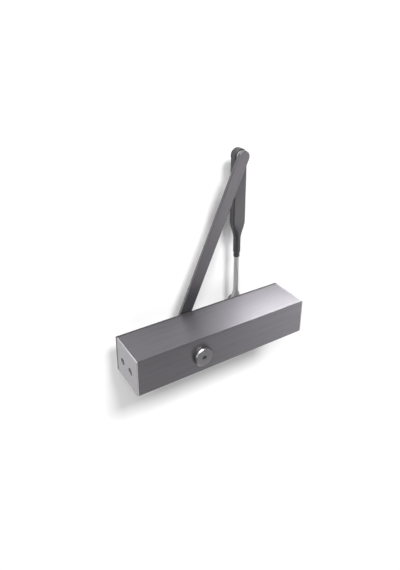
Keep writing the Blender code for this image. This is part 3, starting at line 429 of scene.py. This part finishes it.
def collar(inner, outer, low, high, rounding, steps, segments):
    """A tube or washer about Z with rounded edges."""
    corners = [(inner, low), (outer, low), (outer, high), (inner, high)]
    return turned(rounded_profile(corners, rounding, steps), segments)


def blind_hole(radius, mouth, floor):
    """A cutter for a plain hole about Z, from past its mouth to its floor."""
    return turned([(0.0, mouth), (radius, mouth), (radius, floor), (0.0, floor)], SMALL)


def moved(builder, matrix):
    """The same mesh, transformed."""
    builder.transform(matrix)
    return builder


def new_object(name, builder):
    """An object from a bmesh."""
    bmesh.ops.recalc_face_normals(builder, faces=builder.faces)
    mesh = bpy.data.meshes.new(name)
    builder.to_mesh(mesh)
    builder.free()
    made = bpy.data.objects.new(name, mesh)
    bpy.context.scene.collection.objects.link(made)
    return made


def combine(target, builder, operation):
    """Add a Boolean with a temporary tool object."""
    tool = new_object(f"{target.name}_tool", builder)
    tool.hide_render = True
    modifier = target.modifiers.new("combine", "BOOLEAN")
    modifier.operation = operation
    modifier.solver = "EXACT"
    modifier.object = tool
    return tool


def settle(target, tools):
    """Apply the modifiers, shade the result and remove the tools."""
    depsgraph = bpy.context.evaluated_depsgraph_get()
    plain = bpy.data.meshes.new_from_object(target.evaluated_get(depsgraph))
    target.modifiers.clear()
    target.data = plain
    plain.shade_smooth()
    plain.set_sharp_from_angle(angle=SHARP_ANGLE)
    weighted = target.modifiers.new("weighted", "WEIGHTED_NORMAL")
    weighted.keep_sharp = True
    depsgraph.update()
    final = bpy.data.meshes.new_from_object(target.evaluated_get(depsgraph))
    target.modifiers.clear()
    target.data = final
    for tool in tools:
        bpy.data.objects.remove(tool, do_unlink=True)


def stand_in(node, builder, edge=0.0, joins=(), cuts=(), place=None, finish=None):
    """A fine piece in place of a CAD node: bevelled, joined, cut, placed, dressed and put on its body."""
    made = new_object(f"{node}_shape", builder)
    if edge > 0.0:
        bevel = made.modifiers.new("edges", "BEVEL")
        bevel.width = edge
        bevel.segments = BEVEL_SEGMENTS
        bevel.limit_method = "ANGLE"
        bevel.angle_limit = BEVEL_ANGLE
    tools = [combine(made, shape, "UNION") for shape in joins]
    tools += [combine(made, shape, "DIFFERENCE") for shape in cuts]
    settle(made, tools)
    if place is not None:
        made.matrix_world = place
    made.data.materials.clear()
    made.data.materials.append(finish or MATERIALS[SLOT_OF[node]])
    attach(made, BODY_OF[node])
    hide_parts(node)
    return made


# Materials

def start_material(name, colour, roughness, metallic):
    """A Principled material, its node tree and its shader."""
    made = bpy.data.materials.new(name)
    made.use_nodes = True
    tree = made.node_tree
    shader = tree.nodes["Principled BSDF"]
    shader.inputs["Base Color"].default_value = (*colour, 1.0)
    shader.inputs["Roughness"].default_value = roughness
    shader.inputs["Metallic"].default_value = metallic
    return made, tree, shader


def noise(tree, stretch, detail):
    """Noise in the piece's own axes, stretched by a scale for each axis."""
    coordinates = tree.nodes.new("ShaderNodeTexCoord")
    mapping = tree.nodes.new("ShaderNodeMapping")
    mapping.inputs["Scale"].default_value = stretch
    texture = tree.nodes.new("ShaderNodeTexNoise")
    texture.inputs["Scale"].default_value = 1.0
    texture.inputs["Detail"].default_value = detail
    tree.links.new(coordinates.outputs["Object"], mapping.inputs["Vector"])
    tree.links.new(mapping.outputs["Vector"], texture.inputs["Vector"])
    return texture.outputs["Fac"]


def turning_marks(tree, pitch):
    """Noise that runs in rings round the piece's Z axis."""
    coordinates = tree.nodes.new("ShaderNodeTexCoord")
    flat = tree.nodes.new("ShaderNodeVectorMath")
    flat.operation = "MULTIPLY"
    flat.inputs[1].default_value = (1.0, 1.0, 0.0)
    length = tree.nodes.new("ShaderNodeVectorMath")
    length.operation = "LENGTH"
    texture = tree.nodes.new("ShaderNodeTexNoise")
    texture.noise_dimensions = "1D"
    texture.inputs["Scale"].default_value = 1.0 / pitch
    texture.inputs["Detail"].default_value = 3.0
    tree.links.new(coordinates.outputs["Object"], flat.inputs[0])
    tree.links.new(flat.outputs["Vector"], length.inputs[0])
    tree.links.new(length.outputs["Value"], texture.inputs["W"])
    return texture.outputs["Fac"]


def spread(tree, value, low, high):
    """A 0..1 value, mapped between two limits. Noise stays near 0.5, so it is stretched first."""
    mapped = tree.nodes.new("ShaderNodeMapRange")
    mapped.inputs["From Min"].default_value = NOISE_LOW
    mapped.inputs["From Max"].default_value = NOISE_HIGH
    mapped.inputs["To Min"].default_value = low
    mapped.inputs["To Max"].default_value = high
    tree.links.new(value, mapped.inputs["Value"])
    return mapped.outputs["Result"]


def tint(tree, shader, colour, value, contrast):
    """Vary the base colour between a darker and a lighter shade."""
    mix = tree.nodes.new("ShaderNodeMix")
    mix.data_type = "RGBA"
    mix.inputs["A"].default_value = (*[c * (1.0 - contrast) for c in colour], 1.0)
    mix.inputs["B"].default_value = (*[min(1.0, c * (1.0 + contrast)) for c in colour], 1.0)
    tree.links.new(spread(tree, value, 0.0, 1.0), mix.inputs["Factor"])
    tree.links.new(mix.outputs["Result"], shader.inputs["Base Color"])


def uneven_gloss(tree, shader, value, low, high):
    """Vary the roughness between two limits."""
    tree.links.new(spread(tree, value, low, high), shader.inputs["Roughness"])


def bump(tree, shader, value, depth):
    """Relief from a value."""
    relief = tree.nodes.new("ShaderNodeBump")
    relief.inputs["Strength"].default_value = 1.0
    relief.inputs["Distance"].default_value = depth
    tree.links.new(value, relief.inputs["Height"])
    tree.links.new(relief.outputs["Normal"], shader.inputs["Normal"])


def grain_tangent(tree, shader):
    """Turn the drawn-out gloss across the grain, which runs along the piece's X axis."""
    axis = tree.nodes.new("ShaderNodeVectorTransform")
    axis.vector_type = "VECTOR"
    axis.convert_from = "OBJECT"
    axis.convert_to = "WORLD"
    axis.inputs["Vector"].default_value = (1.0, 0.0, 0.0)
    geometry = tree.nodes.new("ShaderNodeNewGeometry")
    cross = tree.nodes.new("ShaderNodeVectorMath")
    cross.operation = "CROSS_PRODUCT"
    steady = tree.nodes.new("ShaderNodeVectorMath")
    steady.operation = "ADD"
    steady.inputs[1].default_value = (0.001, 0.002, 0.003)
    tree.links.new(geometry.outputs["Normal"], cross.inputs[0])
    tree.links.new(axis.outputs["Vector"], cross.inputs[1])
    tree.links.new(cross.outputs["Vector"], steady.inputs[0])
    tree.links.new(steady.outputs["Vector"], shader.inputs["Tangent"])


def brushed(name, colour, roughness, anisotropic, contrast):
    """Metal brushed along the piece's X axis: long streaks in colour, gloss and relief."""
    made, tree, shader = start_material(name, colour, roughness, 1.0)
    shader.inputs["Anisotropic"].default_value = anisotropic
    wide = noise(tree, WIDE_STREAKS, 3.0)
    fine = noise(tree, FINE_STREAKS, 2.0)
    tint(tree, shader, colour, wide, contrast)
    uneven_gloss(tree, shader, fine, roughness - GLOSS_SPREAD, roughness + GLOSS_SPREAD)
    bump(tree, shader, fine, STREAK_RELIEF)
    grain_tangent(tree, shader)
    return made


def turned_metal(name, colour, roughness, pitch):
    """Metal with the fine rings that a lathe leaves."""
    made, tree, shader = start_material(name, colour, roughness, 1.0)
    rings = turning_marks(tree, pitch)
    cloud = noise(tree, (TURNED_CLOUDS,) * 3, 3.0)
    tint(tree, shader, colour, cloud, TURNED_CONTRAST)
    uneven_gloss(tree, shader, rings, roughness + RING_GLOSS[0], roughness + RING_GLOSS[1])
    bump(tree, shader, rings, RING_RELIEF)
    return made


def coated(name, colour, roughness, metallic, grain, depth, contrast):
    """A cast, painted or moulded skin: fine grain, faint clouds and uneven gloss."""
    made, tree, shader = start_material(name, colour, roughness, metallic)
    cloud = noise(tree, (COATED_CLOUDS,) * 3, 4.0)
    fine = noise(tree, (grain,) * 3, 3.0)
    tint(tree, shader, colour, cloud, contrast)
    uneven_gloss(tree, shader, cloud, roughness - GLOSS_SPREAD, roughness + GLOSS_SPREAD)
    bump(tree, shader, fine, depth)
    return made


def make_materials():
    """One material for each slot of the record, for the cap's face, and for the sleeve a darker copy of the arm
    metal that carries painted shade.
    """
    made = {name: brushed(name, *values) for name, values in BRUSHED_FINISHES.items()}
    made.update({name: turned_metal(name, *values) for name, values in TURNED_FINISHES.items()})
    made.update({name: coated(name, *values) for name, values in COATED_FINISHES.items()})
    return made


MATERIALS = make_materials()


def dress_frame():
    """Give every CAD node its finished material; nodes with a fine piece are hidden later."""
    for node, piece in frame["nodes"].items():
        for slot in piece.material_slots:
            slot.link = "OBJECT"
            slot.material = MATERIALS[SLOT_OF[node]]


# Body

def centre(node):
    """Middle of a CAD node's box."""
    low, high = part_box(node)
    return (low + high) / 2


def make_cover():
    """The bent sheet: front wall and cap-side wall, with one rounded fold."""
    low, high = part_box("cover")
    radius = COVER_CORNER_RADIUS
    section = [(low.y, high.z - SHEET), (high.y - SHEET, high.z - SHEET), (high.y - SHEET, low.z)]
    section += [(high.y, low.z)]
    section += arc((high.y - radius, high.z - radius), radius, 0, 90, CORNER_STEPS)
    section += [(low.y, high.z)]
    shape = loft([[(x, y, z) for y, z in section] for x in (low.x, high.x)])
    place = Matrix.Translation((PINION.x, PINION.y, 0.0))
    hole = moved(hole_cutter(PINION_HOLE_RADIUS, high.z - SHEET, high.z, HOLE_CHAMFER), place)
    stand_in("cover", shape, SHEET_EDGE, cuts=[hole])


def make_end_cap(node, holes):
    """An end plate with soft edges and chamfered access holes."""
    low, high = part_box(node)
    corner = COVER_CORNER_RADIUS
    outline = [(low.y, low.z), (high.y, low.z)]
    outline += arc((high.y - corner, high.z - corner), corner, 0, 90, CORNER_STEPS)
    outline += [(low.y, high.z)]
    shape = loft([[(x, y, z) for y, z in outline] for x in (low.x, high.x)])
    cuts = []
    for y, z, radius in holes:
        place = Matrix.Translation((0.0, y, z)) @ ALONG_X
        cuts.append(moved(hole_cutter(radius, low.x, high.x, HOLE_CHAMFER), place))
    stand_in(node, shape, SHEET_EDGE, cuts=cuts)


def make_panel():
    """The dark moulded panel on the arm side, with countersunk screw seats."""
    low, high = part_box("arm_side_panel")
    outline = rounded_rectangle((low.x, low.y), (high.x, high.y), PANEL_CORNER_RADIUS)
    shape = prism(outline, low.z, high.z)
    place = Matrix.Translation((PINION.x, PINION.y, 0.0))
    cuts = [moved(hole_cutter(SHAFT_HOLE_RADIUS, low.z, high.z, HOLE_CHAMFER), place)]
    seat = low.z + PANEL_SCREW_SEAT
    head = PANEL_SCREW_HEAD_RADIUS + GAP
    for node in PANEL_SCREWS:
        middle = centre(node)
        profile = [(0.0, low.z - PAST), (head + HOLE_CHAMFER + PAST, low.z - PAST)]
        profile += [(head, low.z + HOLE_CHAMFER), (head, seat), (PANEL_SCREW_HOLE_RADIUS, seat)]
        profile += [(PANEL_SCREW_HOLE_RADIUS, high.z + PAST), (0.0, high.z + PAST)]
        cuts.append(moved(turned(profile, SMALL), Matrix.Translation((middle.x, middle.y, 0.0))))
    stand_in("arm_side_panel", shape, PANEL_EDGE, cuts=cuts)


def make_panel_screws():
    """Three pan head screws with a straight slot."""
    radius = PANEL_SCREW_HEAD_RADIUS
    height = PANEL_SCREW_HEAD_HEIGHT
    reach = radius * SLOT_REACH
    half = PANEL_SCREW_SLOT_HALF_WIDTH
    for node in PANEL_SCREWS:
        low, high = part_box(node)
        middle = centre(node)
        shank = high.z - low.z - height
        profile = [(0.0, -shank), (PANEL_SCREW_RADIUS, -shank), (PANEL_SCREW_RADIUS, 0.0), (radius, 0.0)]
        profile += [(radius * across, height * up) for across, up in PAN_HEAD]
        profile += [(0.0, height)]
        slot = box_between((-reach, -half, height / 2), (reach, half, height + PAST))
        place = Matrix.Translation((middle.x, middle.y, low.z + height)) @ DOWN
        stand_in(node, turned(profile, SMALL), cuts=[slot], place=place)


def make_mounting_plate():
    """The plate against the door, with its screw and fixing holes."""
    low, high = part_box("mounting_plate")
    outline = rounded_rectangle((low.x, low.z), (high.x, high.z), PLATE_CORNER_RADIUS)
    shape = loft([[(x, y, z) for x, z in outline] for y in (low.y, high.y)])
    centres = [(x, z, FIXING_HOLE_RADIUS) for x in FIXING_HOLE_X for z in (-FIXING_HOLE_Z, FIXING_HOLE_Z)]
    for node in BODY_SCREWS:
        middle = centre(node)
        centres.append((middle.x, middle.z, BODY_SCREW_HOLE_RADIUS))
    cuts = []
    for x, z, radius in centres:
        place = Matrix.Translation((x, 0.0, z)) @ ALONG_Y
        cuts.append(moved(hole_cutter(radius, low.y, high.y, HOLE_CHAMFER), place))
    stand_in("mounting_plate", shape, PANEL_EDGE, cuts=cuts)


def make_valve(node):
    """A valve screw whose slotted head shows in the end plate's hole."""
    low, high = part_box(node)
    middle = centre(node)
    head = (high.z - low.z) / 2
    shank = head - VALVE_SHANK_INSET
    head_end = low.x + VALVE_HEAD_LENGTH
    profile = [(0.0, low.x), (head - VALVE_CHAMFER, low.x), (head, low.x + VALVE_CHAMFER), (head, head_end)]
    profile += [(shank, head_end), (shank, high.x - VALVE_TAPER), (VALVE_TIP_RADIUS, high.x), (0.0, high.x)]
    half = VALVE_SLOT_HALF_WIDTH
    reach = head * SLOT_REACH
    slot = box_between((-half, -reach, low.x - PAST), (half, reach, low.x + VALVE_SLOT_DEPTH))
    place = Matrix.Translation((0.0, middle.y, middle.z))
    shape = moved(turned(profile, SMALL), ALONG_X)
    stand_in(node, shape, cuts=[moved(slot, ALONG_X)], place=place)


def make_adjusting_screw():
    """The force adjusting screw, with a hexagon socket in its end."""
    low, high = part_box("adjusting_screw")
    middle = centre("adjusting_screw")
    thread = ADJUSTER_RADIUS
    journal = ADJUSTER_JOURNAL_RADIUS
    ring_radius = (high.z - low.z) / 2
    ring_end = ADJUSTER_COLLAR_END
    ring_start = ring_end - ADJUSTER_COLLAR_THICKNESS
    profile = [(0.0, low.x), (thread, low.x), (thread, ring_start), (ring_radius, ring_start)]
    profile += [(ring_radius, ring_end), (journal, ring_end), (journal, high.x - ADJUSTER_CHAMFER)]
    profile += [(journal - ADJUSTER_CHAMFER, high.x), (0.0, high.x)]
    outline = polygon(ADJUSTER_SOCKET_RADIUS, SOCKET_SIDES)
    socket = moved(prism(outline, high.x - ADJUSTER_SOCKET_DEPTH, high.x + PAST), ALONG_X)
    place = Matrix.Translation((0.0, middle.y, middle.z))
    stand_in("adjusting_screw", moved(turned(profile, MEDIUM), ALONG_X), cuts=[socket], place=place)


# Pinion cap

def make_pinion_cap():
    """The chrome cap: a plain wall, a bright chamfer and a recess for its screw."""
    low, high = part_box("pinion_cap")
    radius = (high.x - low.x) / 2
    face = high.z
    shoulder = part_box("cover")[1].z + GAP
    corners = [(0.0, low.z), (CAP_NECK_RADIUS, low.z), (CAP_NECK_RADIUS, shoulder), (radius, shoulder)]
    disc = radius - CAP_CHAMFER
    corners += [(radius, face - CAP_CHAMFER), (disc, face), (CAP_RECESS_RADIUS, face)]
    corners += [(CAP_RECESS_RADIUS, face - CAP_RECESS_DEPTH), (0.0, face - CAP_RECESS_DEPTH)]
    profile = rounded_profile(corners, SOFT_EDGE, 4)
    place = Matrix.Translation((PINION.x, PINION.y, 0.0))
    made = stand_in("pinion_cap", turned(profile, FINE), place=place)
    made.data.materials.append(MATERIALS["cap_face"])
    for facet in made.data.polygons:
        on_face = facet.center.z > face - CAP_FACE_DEPTH and facet.center.xy.length < disc
        facet.material_index = 1 if on_face else 0


def make_socket_screw(node, low, height, radius, shank_radius, shank, place):
    """A socket head screw about Z: head from z = low upwards, shank below."""
    corners = [(0.0, low - shank), (shank_radius, low - shank), (shank_radius, low), (radius, low)]
    corners += [(radius, low + height), (0.0, low + height)]
    profile = rounded_profile(corners, radius * HEAD_ROUNDING_SHARE, 3)
    outline = polygon(radius * SOCKET_SHARE, SOCKET_SIDES)
    socket = prism(outline, low + height * SOCKET_FLOOR_SHARE, low + height + PAST)
    stand_in(node, turned(profile, SMALL), cuts=[socket], place=place)


def make_cap_screw():
    """The small dark screw in the cap's recess."""
    low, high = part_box("cap_screw")
    radius = (high.x - low.x) / 2
    place = Matrix.Translation((PINION.x, PINION.y, 0.0))
    height = CAP_SCREW_HEAD_HEIGHT
    seat = high.z - height
    make_socket_screw("cap_screw", seat, height, radius, CAP_SCREW_RADIUS, seat - low.z, place)


# Main arm

def make_main_arm():
    """A flat bar with soft edges, a round elbow end and a turned boss on the pinion."""
    low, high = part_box("main_arm")
    bottom = high.z - ARM_THICKNESS
    outline = arc((ARM_LENGTH, 0.0), ARM_HALF_WIDTH, -90, 90, ARC_STEPS)
    outline += arc((0.0, 0.0), ARM_HALF_WIDTH, 90, 270, ARC_STEPS)
    boss = collar(0.0, BOSS_RADIUS, low.z, high.z, BOSS_ROUNDING, 5, FINE)
    half = SQUARE_HALF_WIDTH
    square = box_between((-half, -half, low.z - PAST), (half, half, high.z + PAST))
    pin_hole = blind_hole(ELBOW_HOLE_RADIUS, bottom - PAST, bottom + ELBOW_HOLE_DEPTH)
    cuts = [square, moved(pin_hole, Matrix.Translation((ARM_LENGTH, 0.0, 0.0)))]
    shape = prism(outline, bottom, high.z)
    stand_in("main_arm", shape, ARM_EDGE, joins=[boss], cuts=cuts, place=ARM_PLACE)


def make_arm_fastening():
    """The washer and the socket screw under the boss."""
    low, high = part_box("arm_washer")
    washer = collar(WASHER_HOLE_RADIUS, WASHER_RADIUS, low.z, high.z, SOFT_EDGE, 3, MEDIUM)
    stand_in("arm_washer", washer, place=ARM_PLACE)
    low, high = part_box("arm_screw")
    place = ARM_PLACE @ Matrix.Translation((0.0, 0.0, low.z + ARM_SCREW_HEAD_HEIGHT)) @ DOWN
    height = ARM_SCREW_HEAD_HEIGHT
    shank = high.z - low.z - height
    make_socket_screw("arm_screw", 0.0, height, ARM_SCREW_HEAD_RADIUS, ARM_SCREW_RADIUS, shank, place)


def make_elbow():
    """The riveted elbow pin and its nylon washer."""
    place = ARM_PLACE @ Matrix.Translation((ARM_LENGTH, 0.0, 0.0))
    low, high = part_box("elbow_pin")
    head = ELBOW_PIN_HEAD_RADIUS
    seat = low.z + ELBOW_PIN_HEAD_HEIGHT
    profile = [(0.0, low.z)] + [(head - inset, low.z + rise) for inset, rise in ELBOW_PIN_CROWN]
    profile += [(head, seat), (ELBOW_PIN_RADIUS, seat), (ELBOW_PIN_RADIUS, high.z), (0.0, high.z)]
    stand_in("elbow_pin", turned(profile, MEDIUM), place=place)
    low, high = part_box("elbow_washer")
    inner = ELBOW_PIN_RADIUS + RUNNING_CLEARANCE
    washer = collar(inner, ELBOW_WASHER_RADIUS, low.z, high.z, SOFT_EDGE, 3, MEDIUM)
    stand_in("elbow_washer", washer, place=place)


# Forearm

def facet_section(half_width, half_height, chamfer, roundness):
    """A rectangle with chamfered corners, as a loop of 32 points. Roundness 1 makes it an ellipse."""
    flat_width = half_width - chamfer
    flat_height = half_height - chamfer
    corners = [(half_width, -flat_height), (half_width, flat_height), (flat_width, half_height)]
    corners += [(-flat_width, half_height), (-half_width, flat_height), (-half_width, -flat_height)]
    corners += [(-flat_width, -half_height), (flat_width, -half_height)]
    points = []
    for i, corner in enumerate(corners):
        following = corners[(i + 1) % len(corners)]
        for share in FACET_SHARES:
            y = corner[0] + (following[0] - corner[0]) * share
            z = corner[1] + (following[1] - corner[1]) * share
            angle = math.atan2(z / half_height, y / half_width)
            round_y = half_width * math.cos(angle)
            round_z = half_height * math.sin(angle)
            points.append((y + (round_y - y) * roundness, z + (round_z - z) * roundness))
    return points


def section_at(x, half_width, half_height, chamfer, roundness):
    """A facet section in the plane across the piece at x."""
    return [(x, y, z) for y, z in facet_section(half_width, half_height, chamfer, roundness)]


def smooth(share):
    """An ease between 0 and 1."""
    return share * share * (3.0 - 2.0 * share)


def make_forearm_sleeve():
    """The forged sleeve: an eye, a faceted grip, and a taper into a round neck."""
    low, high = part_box("forearm_sleeve")
    half_height = (high.z - low.z) / 2
    sections = [section_at(0.0, SLEEVE_HALF_WIDTH, half_height, SLEEVE_CHAMFER, 0.0)]
    sections.append(section_at(SLEEVE_FULL_WIDTH_END, SLEEVE_HALF_WIDTH, half_height, SLEEVE_CHAMFER, 0.0))
    for step in range(1, TAPER_STEPS + 1):
        share = step / TAPER_STEPS
        ease = TAPER_EASE * smooth(share) + (1.0 - TAPER_EASE) * share
        x = SLEEVE_FULL_WIDTH_END + (SLEEVE_TAPER_END - SLEEVE_FULL_WIDTH_END) * share
        width = SLEEVE_HALF_WIDTH + (NECK_RADIUS - SLEEVE_HALF_WIDTH) * ease
        height = half_height + (NECK_RADIUS - half_height) * ease
        chamfer = min(SLEEVE_CHAMFER, width * TAPER_CHAMFER_SHARE)
        sections.append(section_at(x, width, height, chamfer, smooth(share)))
    mouth = NECK_RADIUS - SLEEVE_MOUTH_INSET
    for x, radius in ((SLEEVE_END - SLEEVE_MOUTH_LENGTH, NECK_RADIUS), (SLEEVE_END, mouth)):
        sections.append(section_at(x, radius, radius, SLEEVE_CHAMFER, 1.0))
    eye = collar(0.0, SLEEVE_EYE_RADIUS, -half_height, half_height, SLEEVE_EYE_ROUNDING, 5, FINE)
    bore = moved(blind_hole(SLEEVE_BORE_RADIUS, SLEEVE_BORE_START, SLEEVE_END + PAST), ALONG_X)
    eye_hole = hole_cutter(EYE_HOLE_RADIUS, -half_height, half_height, SOFT_EDGE)
    screw_hole = blind_hole(LOCK_SCREW_HOLE_RADIUS, -half_height - PAST, 0.0)
    cuts = [eye_hole, bore, moved(screw_hole, Matrix.Translation((LOCK_SCREW_X, 0.0, 0.0)))]
    # The sleeve's finish: a darker copy of the arm metal, with painted shade in its base colour.
    sleeve_shade_finish = MATERIALS["sleeve_painted_shade"]
    stand_in("forearm_sleeve", loft(sections), joins=[eye], cuts=cuts, place=FOREARM_PLACE, finish=sleeve_shade_finish)


def make_sleeve_fittings():
    """The bush in the eye, the grub screw under the neck and the guide bush at the mouth."""
    low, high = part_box("elbow_bush")
    inner = ELBOW_PIN_RADIUS + RUNNING_CLEARANCE
    half = (high.z - low.z) / 2
    bush = collar(inner, inner + BUSH_WALL, -half, half, FINE_EDGE, 2, SMALL)
    stand_in("elbow_bush", bush, place=FOREARM_PLACE)
    low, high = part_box("lock_screw")
    radius = (high.x - low.x) / 2
    length = high.z - low.z
    socket = prism(polygon(radius * SOCKET_SHARE, SOCKET_SIDES), length / 2, length + PAST)
    grub = collar(0.0, radius, 0.0, length, FINE_EDGE, 2, SMALL)
    place = FOREARM_PLACE @ Matrix.Translation((LOCK_SCREW_X, 0.0, high.z - FOREARM_Z)) @ DOWN
    stand_in("lock_screw", grub, cuts=[socket], place=place)
    start = SLEEVE_END + GAP
    inner = ROD_RADIUS + RUNNING_CLEARANCE
    guide = collar(inner, GUIDE_BUSH_RADIUS, start, start + GUIDE_BUSH_LENGTH, SOFT_EDGE, 3, SMALL)
    stand_in("rod_guide_bush", moved(guide, ALONG_X), place=FOREARM_PLACE)


def make_rod():
    """The plated rod, forged out into a flat eye with a bronze bush."""
    end = FOREARM_LENGTH
    half = ROD_EYE_HALF_THICKNESS
    sections = [section_at(ROD_START, ROD_RADIUS, ROD_RADIUS, ROD_CHAMFER, 1.0)]
    for step in range(ROD_SHOULDER_STEPS + 1):
        share = step / ROD_SHOULDER_STEPS
        x = end - ROD_SHOULDER_START + (ROD_SHOULDER_START - ROD_SHOULDER_END) * share
        width = ROD_RADIUS + (ROD_SHOULDER_HALF_WIDTH - ROD_RADIUS) * smooth(share)
        height = ROD_RADIUS + (half - ROD_RADIUS) * share
        sections.append(section_at(x, width, height, ROD_CHAMFER, 1.0 - smooth(share)))
    sections.append(section_at(end - ROD_EYE_RADIUS / 2, ROD_SHOULDER_HALF_WIDTH, half, ROD_CHAMFER, 0.0))
    eye_place = Matrix.Translation((end, 0.0, 0.0))
    eye = moved(collar(0.0, ROD_EYE_RADIUS, -half, half, ROD_EYE_ROUNDING, 4, MEDIUM), eye_place)
    inner = SHOE_PIN_RADIUS + RUNNING_CLEARANCE
    outer = inner + BUSH_WALL
    hole = moved(hole_cutter(outer + GAP, -half, half, SOFT_EDGE), eye_place)
    stand_in("adjusting_rod", loft(sections), joins=[eye], cuts=[hole], place=FOREARM_PLACE)
    bush = moved(collar(inner, outer, -half, half, FINE_EDGE, 2, SMALL), eye_place)
    stand_in("rod_eye_bush", bush, place=FOREARM_PLACE)


# Shoe

def make_shoe():
    """The angle bracket: a tongue for the pin and a flange with two fixing holes."""
    low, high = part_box("shoe")
    back = low.y - SHOE.y
    half = SHOE_TONGUE_HALF_WIDTH
    inside = back + SHOE_OVERLAP
    outline = arc((0.0, 0.0), half, 0, 180, ARC_STEPS) + [(-half, inside), (half, inside)]
    tongue = prism(outline, high.z - SHOE_SHEET, high.z)
    reach = (high.x - low.x) / 2
    flat = rounded_rectangle((-reach, low.z), (reach, high.z), SHOE_CORNER_RADIUS)
    flange = loft([[(x, y, z) for x, z in flat] for y in (back, back + SHOE_SHEET)])
    cuts = [hole_cutter(SHOE_PIN_RADIUS + GAP, high.z - SHOE_SHEET, high.z, SOFT_EDGE)]
    middle = (low.z + high.z - SHOE_SHEET) / 2
    for x in (-SHOE_HOLE_OFFSET, SHOE_HOLE_OFFSET):
        place = Matrix.Translation((x, 0.0, middle)) @ ALONG_Y
        cuts.append(moved(hole_cutter(SHOE_HOLE_RADIUS, back, back + SHOE_SHEET, SHOE_HOLE_CHAMFER), place))
    stand_in("shoe", flange, SHOE_EDGE, joins=[tongue], cuts=cuts, place=SHOE_PLACE)


def make_shoe_pin():
    """The shoe's pin with its chamfered head, and the washer under the rod's eye."""
    low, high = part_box("shoe_pin")
    seat = high.z - SHOE_PIN_HEAD_HEIGHT
    head = SHOE_PIN_HEAD_RADIUS
    corners = [(0.0, low.z), (SHOE_PIN_RADIUS, low.z), (SHOE_PIN_RADIUS, seat), (head, seat)]
    corners += [(head, high.z - SHOE_PIN_CHAMFER_HEIGHT), (head - SHOE_PIN_CHAMFER_WIDTH, high.z)]
    corners += [(0.0, high.z)]
    stand_in("shoe_pin", turned(rounded_profile(corners, FINE_EDGE, 3), MEDIUM), place=SHOE_PLACE)
    low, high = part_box("shoe_washer")
    washer = collar(SHOE_PIN_RADIUS + GAP, SHOE_WASHER_RADIUS, low.z, high.z, FINE_EDGE, 3, MEDIUM)
    stand_in("shoe_washer", washer, place=SHOE_PLACE)


# Floor, light and camera

def make_floor():
    """A plain pale floor just under the lowest piece."""
    height = cad_box[0].z - FLOOR_DROP
    reach = FLOOR_REACH
    outline = [(-reach, -reach), (reach, -reach), (reach, reach), (-reach, reach)]
    builder = bmesh.new()
    builder.faces.new(ring(builder, [(x, y, height) for x, y in outline]))
    floor = new_object("floor", builder)
    made, tree, shader = start_material("floor_paper", FLOOR_COLOUR, FLOOR_ROUGHNESS, 0.0)
    tint(tree, shader, FLOOR_COLOUR, noise(tree, (FLOOR_CLOUDS,) * 3, 2.0), FLOOR_CONTRAST)
    floor.data.materials.append(made)


def aim(lamp, place, target):
    """Put a lamp at a place and turn it towards a target."""
    lamp.location = place
    lamp.rotation_mode = "QUATERNION"
    lamp.rotation_quaternion = (Vector(target) - Vector(place)).to_track_quat("-Z", "Y")
    bpy.context.scene.collection.objects.link(lamp)


def rectangle_light(name, width, length, power):
    """A rectangular area light."""
    data = bpy.data.lights.new(name, "AREA")
    data.shape = "RECTANGLE"
    data.size = width
    data.size_y = length
    data.energy = power
    return bpy.data.objects.new(name, data)


def soft_box(name, direction, distance, width, height, power):
    """A soft box that faces the middle of the object."""
    target = Vector(LIGHT_TARGET)
    lamp = rectangle_light(name, width, height, power)
    aim(lamp, target + Vector(direction).normalized() * distance, target)


def floor_panel(name, x, y, width, length, power):
    """A panel that lies on the floor and shines up: only the brushed front wall mirrors it."""
    height = cad_box[0].z + FLOOR_PANEL_LIFT
    aim(rectangle_light(name, width, length, power), (x, y, height), (x, y, height + 1.0))


def make_light():
    """A dim room, two key soft boxes, fills, and floor panels past the spring end."""
    world = bpy.data.worlds.new("room")
    world.use_nodes = True
    world.node_tree.nodes["Background"].inputs["Color"].default_value = (1.0, 1.0, 1.0, 1.0)
    world.node_tree.nodes["Background"].inputs["Strength"].default_value = ROOM_STRENGTH
    bpy.context.scene.world = world
    for light in SOFT_BOXES:
        soft_box(*light)
    for light in FLOOR_PANELS:
        floor_panel(*light)


def make_camera():
    """The camera: its place, the azimuth and elevation that it looks from, and its roll."""
    data = bpy.data.cameras.new("camera")
    data.sensor_width = CAMERA_SENSOR
    data.lens = CAMERA_LENS
    data.shift_y = CAMERA_SHIFT_Y
    data.clip_start, data.clip_end = CAMERA_CLIP
    camera = bpy.data.objects.new("camera", data)
    azimuth, elevation = math.radians(CAMERA_AZIMUTH), math.radians(CAMERA_ELEVATION)
    flat = math.cos(elevation)
    back = Vector((math.sin(azimuth) * flat, -math.cos(azimuth) * flat, math.sin(elevation)))
    turn = (-back).to_track_quat("-Z", "Y").to_matrix().to_4x4()
    roll = Matrix.Rotation(math.radians(CAMERA_ROLL), 4, "Z")
    camera.matrix_world = Matrix.Translation(CAMERA_PLACE) @ turn @ roll
    bpy.context.scene.collection.objects.link(camera)
    bpy.context.scene.camera = camera


def main():
    """Dress the frame, add the fine pieces, then the stage."""
    dress_frame()
    make_cover()
    valve_holes = [(centre(node).y, centre(node).z, VALVE_HOLE_RADIUS)
                   for node in ("closing_speed_valve", "latching_speed_valve")]
    make_end_cap("valve_end_cap", valve_holes)
    screw_middle = centre("adjusting_screw")
    make_end_cap("spring_end_cap", [(screw_middle.y, screw_middle.z, SPRING_HOLE_RADIUS)])
    make_panel()
    make_panel_screws()
    make_mounting_plate()
    make_valve("closing_speed_valve")
    make_valve("latching_speed_valve")
    make_adjusting_screw()
    make_pinion_cap()
    make_cap_screw()
    make_main_arm()
    make_arm_fastening()
    make_elbow()
    make_forearm_sleeve()
    make_sleeve_fittings()
    make_rod()
    make_shoe()
    make_shoe_pin()
    make_floor()
    make_light()
    make_camera()
    bpy.context.scene.view_settings.view_transform = "Standard"


main()
